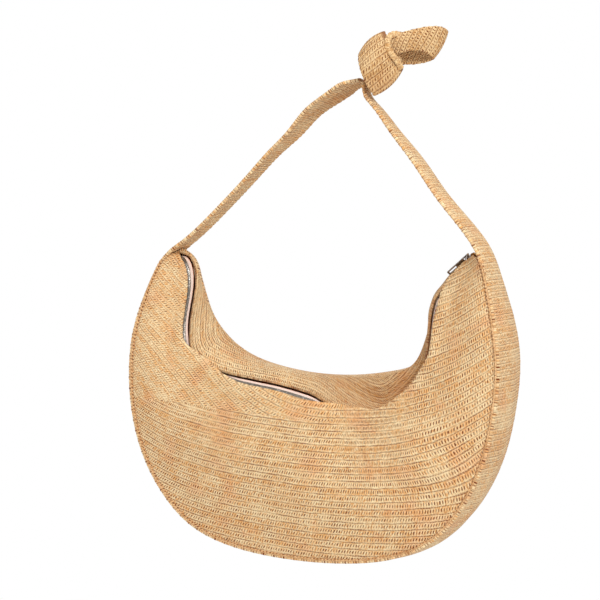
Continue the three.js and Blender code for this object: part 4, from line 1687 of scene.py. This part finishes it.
# ---------------------------------------------------------------- knot
@dataclass
class Knot:
    """The knot at the top: the strap wrapped over itself, and its end doubled into a loop."""

    crochet: Crochet
    centre: Array
    stitch: float = 3.6
    row: float = 6.6
    openness: float = 0.9
    right: Array = field(default_factory=lambda: np.array([0.906, 0.423, 0.0]))
    near: Array = field(default_factory=lambda: np.array([0.423, -0.906, 0.0]))
    up: Array = field(default_factory=lambda: np.array([0.0, 0.0, 1.0]))

    def place(self, x: Array, depth: Array, z: Array) -> Array:
        """Knot coordinates: x to the right, depth towards the front, z up, from the centre."""
        x, depth, z = (np.asarray(k, float)[..., None] for k in (x, depth, z))
        return self.centre + x * self.right + depth * self.near + z * self.up

    def ribbon(self, name: str, points: list, across: list, half: list, crown: float,
               thickness: float = 3.6, shaded: tuple = (2.0, 3.0),
               shade_depth: float = 0.8) -> bpy.types.Object:
        """A stretch of strap that follows points, its width along given directions.

        point = line + across v half + normal crown (1 - v^2)

        Args:
            name: the piece's name.
            points: (x, depth, z) of the middle line.
            across: (x, depth, z) of the width's direction at each point.
            half: half width at each point.
            crown: how far the middle stands proud of the edges.
            thickness: of the cloth.
            shaded: where across the width the painted shade along one edge starts and is full.
            shade_depth: how dark that painted shade is, from 0 to 1.

        Returns:
            The mesh object.
        """
        line = Spline(points)
        count = int(line.length / 1.1)
        t = np.linspace(0.0, 1.0, count)
        p = line.at(t)
        sides = np.array(across, float)
        w = np.stack([np.interp(t, line.knot_share, sides[:, k]) for k in range(3)], axis=-1)
        h = np.interp(t, line.knot_share, half)
        v = np.linspace(-1.0, 1.0, 31)
        middle = self.place(p[:, 0], p[:, 1], p[:, 2])
        wide = unit(w[:, :1] * self.right + w[:, 1:2] * self.near + w[:, 2:] * self.up)
        along = unit(np.gradient(middle, axis=0))
        normal = unit(np.cross(along, wide))
        grid = middle[:, None] + wide[:, None] * (v[None, :, None] * h[:, None, None])
        grid = grid + normal[:, None] * (crown * (1.0 - v ** 2))[None, :, None]
        stitch = np.broadcast_to(v[None] * h[:, None] / self.stitch, grid.shape[:2])
        row = np.broadcast_to(t[:, None] * line.length / self.row, grid.shape[:2])
        uv = np.stack([stitch, row], axis=-1)
        openness = np.full(grid.shape[:2], self.openness)
        relief = self.crochet.relief(uv, openness * 0.9)
        # The hole marks paint shade here: hole_u at 0.5 keeps the hole pulse full, so the band set by shaded
        # darkens one edge.
        marks = {"openness": openness, "hole_u": np.full(grid.shape[:2], 0.5),
                 "hole_and_edge_shade": np.broadcast_to(smooth(*shaded, v), grid.shape[:2]) * shade_depth}
        return Cloth(thickness=thickness, back_step=3).build(name, grid, uv, relief, marks)

    def wrap(self) -> bpy.types.Object:
        """The strap where it passes over the knot, down to its lower lip.

        Returns:
            The mesh object.
        """
        points = [(6, -14, 2), (0, -13, 13), (-9, -5, 22), (-13, 6, 23), (-12, 15, 14), (-8, 20, 0),
                  (-2, 18, -12), (5, 13, -21), (5, 7, -21), (1, 4, -13)]
        across = [(0.8, 0, 0.6), (0.8, 0, 0.6), (0.76, 0, 0.65), (0.74, 0, 0.67), (0.74, 0, 0.67),
                  (0.82, 0, 0.57), (0.76, 0, 0.65), (0.73, 0, 0.68), (0.73, 0, 0.68), (0.73, 0, 0.68)]
        half = [9, 11, 15, 18.5, 20.5, 20, 21, 21.5, 20, 18]
        return self.ribbon("knot_wrap", points, across, half, 4.0, shaded=(0.72, 0.92))

    def loop(self) -> bpy.types.Object:
        """The spare end, out to the right, folded over and back behind.

        Returns:
            The mesh object.
        """
        points = [(-2, 6, 17), (14, 9, 21), (32, 12, 26), (47, 12, 28), (60, 8, 26), (66, 1, 22),
                  (59, -6, 19), (45, -9, 17), (28, -8, 16), (8, -5, 14)]
        across = [(0.3, 0, 0.95), (0.4, 0, 0.92), (0.46, 0, 0.89), (0.5, 0, 0.87), (0.48, 0, 0.88),
                  (0.47, 0, 0.88), (0.45, 0, 0.89), (0.4, 0, 0.92), (0.35, 0, 0.94), (0.3, 0, 0.95)]
        half = [14, 14, 13.5, 14.5, 16, 16.5, 16.5, 16.5, 15.5, 14]
        return self.ribbon("knot_loop_fold", points, across, half, 2.0, thickness=3.2)

    def collar(self) -> bpy.types.Object:
        """The turned edge down the right of the wrap.

        Returns:
            The mesh object.
        """
        line = Spline([(26, 4, 29), (16, 10, 33), (7, 16, 30), (4, 21, 21), (8, 24, 10), (15, 23, 1),
                       (20, 17, -7)])
        t = np.linspace(0.0, 1.0, 90)
        p = line.at(t)
        middle = self.place(p[:, 0], p[:, 1], p[:, 2])
        tangent = unit(np.gradient(middle, axis=0))
        side = unit(np.cross(tangent, self.near[None]))
        phase = t * line.length / 4.2
        pulse = 1.0 + 0.10 * np.sin(2.0 * math.pi * phase)
        profile = circle(1.0, 20)[None] * pulse[:, None, None] * np.array([3.6, 2.0])
        points, quads = sweep(middle, side, np.cross(tangent, side), profile)
        around = np.tile(np.linspace(0.0, 3.0, 20, endpoint=False), len(t))
        uv = np.stack([around, np.repeat(phase * 0.6, 20)], axis=-1)
        marks = {"openness": np.full(len(points), 0.25)}
        return make_object("knot_collar", points, capped(points, quads, 20), uv, marks)

    def core(self) -> bpy.types.Object:
        """The strap packed inside the knot: a lumpy ball, x = r cos b cos a and so on.

        Returns:
            The mesh object.
        """
        a, b = np.meshgrid(np.linspace(0.0, 2.0 * math.pi, 96, endpoint=False),
                           np.linspace(-math.pi / 2, math.pi / 2, 60), indexing="ij")
        lumps = 1.0 + 0.05 * np.sin(3.0 * a + 2.0 * b) + 0.03 * np.sin(5.0 * b)
        x = 20.0 * np.cos(b) * np.cos(a) * lumps
        depth = 13.0 * np.cos(b) * np.sin(a) * lumps
        z = 27.0 * np.sin(b) * lumps
        tilt = math.radians(24.0)
        grid = self.place(x * math.cos(tilt) + z * math.sin(tilt) - 1.0, depth,
                          z * math.cos(tilt) - x * math.sin(tilt))
        ring = np.swapaxes(grid, 0, 1)
        points = ring.reshape(-1, 3)
        faces = capped(points, grid_faces(ring.shape[0], ring.shape[1], closed=True), ring.shape[1])
        uv = np.stack([a.T.ravel() * 6.0, b.T.ravel() * 4.0], axis=-1)
        return make_object("knot_core", points, faces, uv, {"openness": np.full(len(points), self.openness)})


# ---------------------------------------------------------------- lining
@dataclass
class Lining:
    """The cotton lining and the slip pocket, inside the panels."""

    drape: Drape
    panels: Panels
    inset: float = 3.4
    thickness: float = 0.8
    stations: int = 120
    columns: int = 40
    base_stations: int = 160
    base_columns: int = 16
    base_margin: float = 6.0
    base_inset: float = 3.5

    def sheet(self, name: str, grid: Array,
              flat: tuple | None = None) -> bpy.types.Object:
        """A thin closed sheet round a grid surface, with the size that it is cut to logged.

        Args:
            name: the piece's name.
            grid: its middle surface, in millimetres.
            flat: width and length of the cut in metres, or None to use the spread of the grid.

        Returns:
            The mesh object.
        """
        uv = np.zeros(grid.shape[:2] + (2,))
        cloth = Cloth(thickness=self.thickness, back_step=1, edge_steps=1)
        piece = cloth.build(name, grid, uv, np.zeros(grid.shape[:2]))
        along, across = np.diff(grid, axis=0)[:, :-1], np.diff(grid, axis=1)[:-1]
        area = float(np.linalg.norm(np.cross(along, across), axis=-1).sum()) * MM * MM
        if flat is None:
            width, length = np.ptp(grid[..., 0]) * MM, np.ptp(grid[..., 2]) * MM
        else:
            width, length = flat
        length = max(length, area / width)
        LOG.info("%s: cut %.3f x %.3f m, %.4f m2", name, width, length, area)
        return piece

    def panel(self, name: str, front: bool, rows: tuple = (0.06, 0.97), span: tuple = (0.06, 0.94),
              extra: float = 0.0) -> bpy.types.Object:
        """Lining behind one panel: the panel's surface moved inwards along its normal.

        Args:
            name: the piece's name.
            front: True behind the front panel.
            rows: its start and end between the zip (0) and the seam (1).
            span: its start and end along the panel.
            extra: how much further in it lies, in millimetres.

        Returns:
            The mesh object.
        """
        t, v = np.meshgrid(np.linspace(*span, self.stations), np.linspace(*rows, self.columns),
                           indexing="ij")
        surface = self.panels.front_surface if front else self.panels.back_surface
        grid = surface(t, v)
        normal = surface_normals(grid)
        middle = normal[self.stations // 2, self.columns // 2]
        inwards = np.sign(middle[1]) * (1.0 if front else -1.0)
        grid = grid + normal * inwards * (self.inset + extra)
        return self.sheet(name, grid)

    def base(self) -> bpy.types.Object:
        """Lining inside the gusset.

        Returns:
            The mesh object.
        """
        d = self.drape
        t, v = np.meshgrid(np.linspace(0.06, 0.94, self.base_stations),
                           np.linspace(-1.0, 1.0, self.base_columns), indexing="ij")
        share = d.outline_share(t)
        p = d.band.at(share)
        line = d.place(p[..., 0], v * (d.half_depth(share) - self.base_margin), p[..., 1])
        grid = line - d.outward(t) * self.base_inset
        steps = np.linalg.norm(np.diff(grid[:, self.base_columns // 2], axis=0), axis=-1)
        widths = np.linalg.norm(grid[:, -1] - grid[:, 0], axis=-1)
        flat = (float(widths.max()) * MM, float(steps.sum()) * MM)
        return self.sheet("lining_base_cloth", grid, flat)


# ---------------------------------------------------------------- stage
@dataclass
class Stage:
    """Camera, lights, floor and backdrop."""

    azimuth: float = 25.0
    elevation: float = 3.0
    lens: float = 90.0
    span: float = 0.698
    sensor: float = 36.0
    sky_strength: float = 0.48
    floor_half: float = 6.0
    floor_white: float = 0.86
    fade_start: float = 0.9
    fade_end: float = 2.0
    aim: Array = field(default_factory=lambda: np.array([-0.0643, -0.0437, -0.2370]))

    def camera(self) -> None:
        """Places the camera on a circle round the aim point."""
        a, e = math.radians(self.azimuth), math.radians(self.elevation)
        away = Vector((math.sin(a) * math.cos(e), -math.cos(a) * math.cos(e), math.sin(e)))
        data = bpy.data.cameras.new("camera")
        data.lens = self.lens
        data.sensor_width = self.sensor
        camera = bpy.data.objects.new("camera", data)
        camera.location = Vector(self.aim) + away * (self.span * self.lens / data.sensor_width)
        camera.rotation_mode = "QUATERNION"
        camera.rotation_quaternion = (-away).to_track_quat("-Z", "Y")
        bpy.context.scene.collection.objects.link(camera)
        bpy.context.scene.camera = camera

    def light(self, name: str, place: tuple, size: float, watts: float) -> None:
        """An area light that looks at the bag.

        Args:
            name: the light's name.
            place: where it stands, in metres.
            size: its diameter in metres.
            watts: its power.
        """
        data = bpy.data.lights.new(name, "AREA")
        data.shape = "DISK"
        data.size = size
        data.energy = watts
        lamp = bpy.data.objects.new(name, data)
        lamp.location = place
        lamp.rotation_mode = "QUATERNION"
        lamp.rotation_quaternion = (Vector(place) - Vector(self.aim)).to_track_quat("Z", "Y")
        bpy.context.scene.collection.objects.link(lamp)

    def white_shader(self, tree: bpy.types.NodeTree, plain: bpy.types.NodeSocket,
                     target: bpy.types.NodeSocket) -> None:
        """Mixes the plain shader with white, which only the camera, glossy and clear rays see.

        The white's share is floor_white up to fade_start metres away and grows to 1 at fade_end.

        Args:
            tree: the material's tree.
            plain: the shader that other rays see.
            target: the output's socket.
        """
        g = Graph(tree)
        paths = g.add("ShaderNodeLightPath")
        seen = g.math("MAXIMUM", paths.outputs["Is Camera Ray"], paths.outputs["Is Glossy Ray"])
        seen = g.math("MAXIMUM", seen, paths.outputs["Is Transmission Ray"])
        reach = g.add("ShaderNodeVectorMath", operation="LENGTH")
        g.feed(reach.inputs[0], g.add("ShaderNodeNewGeometry").outputs["Position"])
        far = g.step(reach.outputs["Value"], self.fade_start, self.fade_end)
        share = g.math("MULTIPLY_ADD", far, 1.0 - self.floor_white, self.floor_white)
        seen = g.math("MULTIPLY", seen, share)
        white = g.add("ShaderNodeEmission")
        white.inputs["Strength"].default_value = 1.0
        blend = g.add("ShaderNodeMixShader")
        g.feed(blend.inputs[0], seen)
        g.feed(blend.inputs[1], plain)
        g.feed(blend.inputs[2], white.outputs[0])
        g.feed(target, blend.outputs[0])

    def world(self) -> None:
        """A soft even sky, white to the camera."""
        world = bpy.data.worlds.new("studio")
        world.use_nodes = True
        bpy.context.scene.world = world
        tree = world.node_tree
        sky = tree.nodes["Background"]
        sky.inputs[0].default_value = (1.0, 0.985, 0.96, 1.0)
        sky.inputs[1].default_value = self.sky_strength
        g = Graph(tree)
        paths = g.add("ShaderNodeLightPath")
        seen = g.math("MAXIMUM", paths.outputs["Is Camera Ray"], paths.outputs["Is Glossy Ray"])
        white = g.add("ShaderNodeBackground")
        white.inputs[0].default_value = (1.0, 1.0, 1.0, 1.0)
        white.inputs[1].default_value = 1.0
        blend = g.add("ShaderNodeMixShader")
        g.feed(blend.inputs[0], seen)
        g.feed(blend.inputs[1], sky.outputs[0])
        g.feed(blend.inputs[2], white.outputs[0])
        g.feed(tree.nodes["World Output"].inputs[0], blend.outputs[0])

    def floor(self, level: float) -> None:
        """A wide pale floor below the hanging bag.

        Args:
            level: its height in metres.
        """
        size = self.floor_half
        points = np.array([[-size, -size, level], [size, -size, level], [size, size, level],
                           [-size, size, level]]) / MM
        floor = make_object("floor", points, [[0, 1, 2, 3]])
        material, _, shader = fresh_material("floor_white")
        shader.inputs["Base Color"].default_value = (0.9, 0.89, 0.88, 1.0)
        shader.inputs["Roughness"].default_value = 0.9
        tree = material.node_tree
        self.white_shader(tree, shader.outputs[0], tree.nodes["Material Output"].inputs[0])
        floor.data.materials.append(material)

    def build(self, level: float) -> None:
        """Makes the whole studio.

        Args:
            level: the floor's height in metres.
        """
        scene = bpy.context.scene
        scene.view_settings.view_transform = "Standard"
        self.camera()
        self.world()
        self.floor(level)
        self.light("key", (2.0, -1.9, 1.5), 1.2, 59.0)
        self.light("fill", (-2.2, -1.9, 0.4), 2.0, 12.0)
        self.light("top", (0.2, -0.3, 2.4), 1.2, 14.0)
        self.light("behind", (-1.6, 2.4, 0.9), 2.0, 14.0)


# ---------------------------------------------------------------- assembly
def joint_numbers(name: str) -> tuple[Array, Array]:
    """A joint's place in millimetres and its unit axis.

    Args:
        name: the joint's name.

    Returns:
        The place and the axis.
    """
    rows = frame["record"]["behaviour"]["joints"]
    row = next(r for r in rows if r["name"] == name)
    return np.array(row["pos_m"], float) / MM, unit(np.array(row["axis"], float))


def main() -> None:
    """Builds the bag and the studio, and reports each piece."""
    logging.basicConfig(level=logging.INFO, format="%(name)s %(message)s")
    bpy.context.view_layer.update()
    low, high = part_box("gusset")
    crochet = Crochet()
    drape = Drape(middle=(low.x + high.x) / 2.0 / MM)
    Stage().build(low.z - FLOOR_DROP)
    group = crochet_group()
    raffia = RaffiaFinish("raffia_crochet").material(group)
    join = RaffiaFinish("raffia_join", light=srgb(236, 194, 144), middle=srgb(196, 146, 94),
                        rosy=srgb(190, 136, 88)).material(group)
    lining_cloth = WovenFinish("lining_cotton").material()
    tape_cloth = TapeFinish("zip_tape_twill").material()
    teeth_metal = MetalFinish("teeth_plated", srgb(128, 123, 115), srgb(184, 178, 170), 0.36).material()
    gunmetal = MetalFinish("slider_gunmetal").material()

    panels = Panels(drape, crochet)
    dress(panels.front(), raffia, Slot.RAFFIA, Body.BAG, "front_panel")
    dress(panels.back(), raffia, Slot.RAFFIA, Body.BAG, "back_panel")
    band = dress(Band(drape, crochet).build(), raffia, Slot.RAFFIA, None,
                 "gusset", "strap_left", "strap_right")
    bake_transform(band)

    seams = Seams(drape)
    dress(seams.build("seam_front_chain", -1), join, Slot.JOIN, Body.BAG, "seam_front")
    dress(seams.build("seam_back_chain", 1), join, Slot.JOIN, Body.BAG, "seam_back")

    zipper = Zip(drape)
    dress(zipper.tape("zip_tape_front", -1), tape_cloth, Slot.TAPE, Body.BAG, "tape_front")
    dress(zipper.tape("zip_tape_back", 1), tape_cloth, Slot.TAPE, Body.BAG, "tape_back")
    dress(zipper.teeth("zip_teeth_front", -1), teeth_metal, Slot.TEETH, Body.BAG, "teeth_front")
    dress(zipper.teeth("zip_teeth_back", 1), teeth_metal, Slot.TEETH, Body.BAG, "teeth_back")
    dress(zipper.stop("zip_stop_closed", 0.992), teeth_metal, Slot.TEETH, Body.BAG, "stop_closed_end")
    dress(zipper.stop("zip_stop_open", 0.008), teeth_metal, Slot.TEETH, Body.BAG, "stop_open_end")

    centre, axis = joint_numbers("zip_slide")
    eye, _ = joint_numbers("pull_flip")
    runner = SliderSet(eye, centre, axis)
    dress(runner.slider(), gunmetal, Slot.SLIDER, Body.SLIDER, "slider")
    dress(runner.pull(), gunmetal, Slot.SLIDER, Body.PULL, "pull")

    low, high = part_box("knot")
    middle = np.array([(low[k] + high[k]) / 2.0 / MM for k in range(3)])
    knot = Knot(crochet, middle)
    # The knot's raffia is a darker copy of the same raffia: painted shade on the knot.
    knot_shaded_raffia = RaffiaFinish("raffia_knot_shaded", light=srgb(246, 212, 160), middle=srgb(214, 164, 104),
                         rosy=srgb(216, 158, 102), strand=srgb(160, 102, 50)).material(group)
    dress(knot.core(), knot_shaded_raffia, Slot.RAFFIA, Body.STRAP, "knot")
    dress(knot.wrap(), knot_shaded_raffia, Slot.RAFFIA, Body.STRAP)
    dress(knot.collar(), knot_shaded_raffia, Slot.RAFFIA, Body.STRAP)
    dress(knot.loop(), knot_shaded_raffia, Slot.RAFFIA, Body.STRAP, "knot_loop")

    lining = Lining(drape, panels)
    dress(lining.panel("lining_front_cloth", True), lining_cloth, Slot.LINING, Body.BAG,
          "lining_front")
    dress(lining.panel("lining_back_cloth", False), lining_cloth, Slot.LINING, Body.BAG,
          "lining_back")
    dress(lining.base(), lining_cloth, Slot.LINING, Body.BAG, "lining_base")
    pocket = lining.panel("slip_pocket", False, rows=(0.5, 0.85), span=(0.42, 0.58), extra=1.4)
    dress(pocket, lining_cloth, Slot.LINING, Body.BAG, "pocket")


if __name__ == "__main__":
    main()
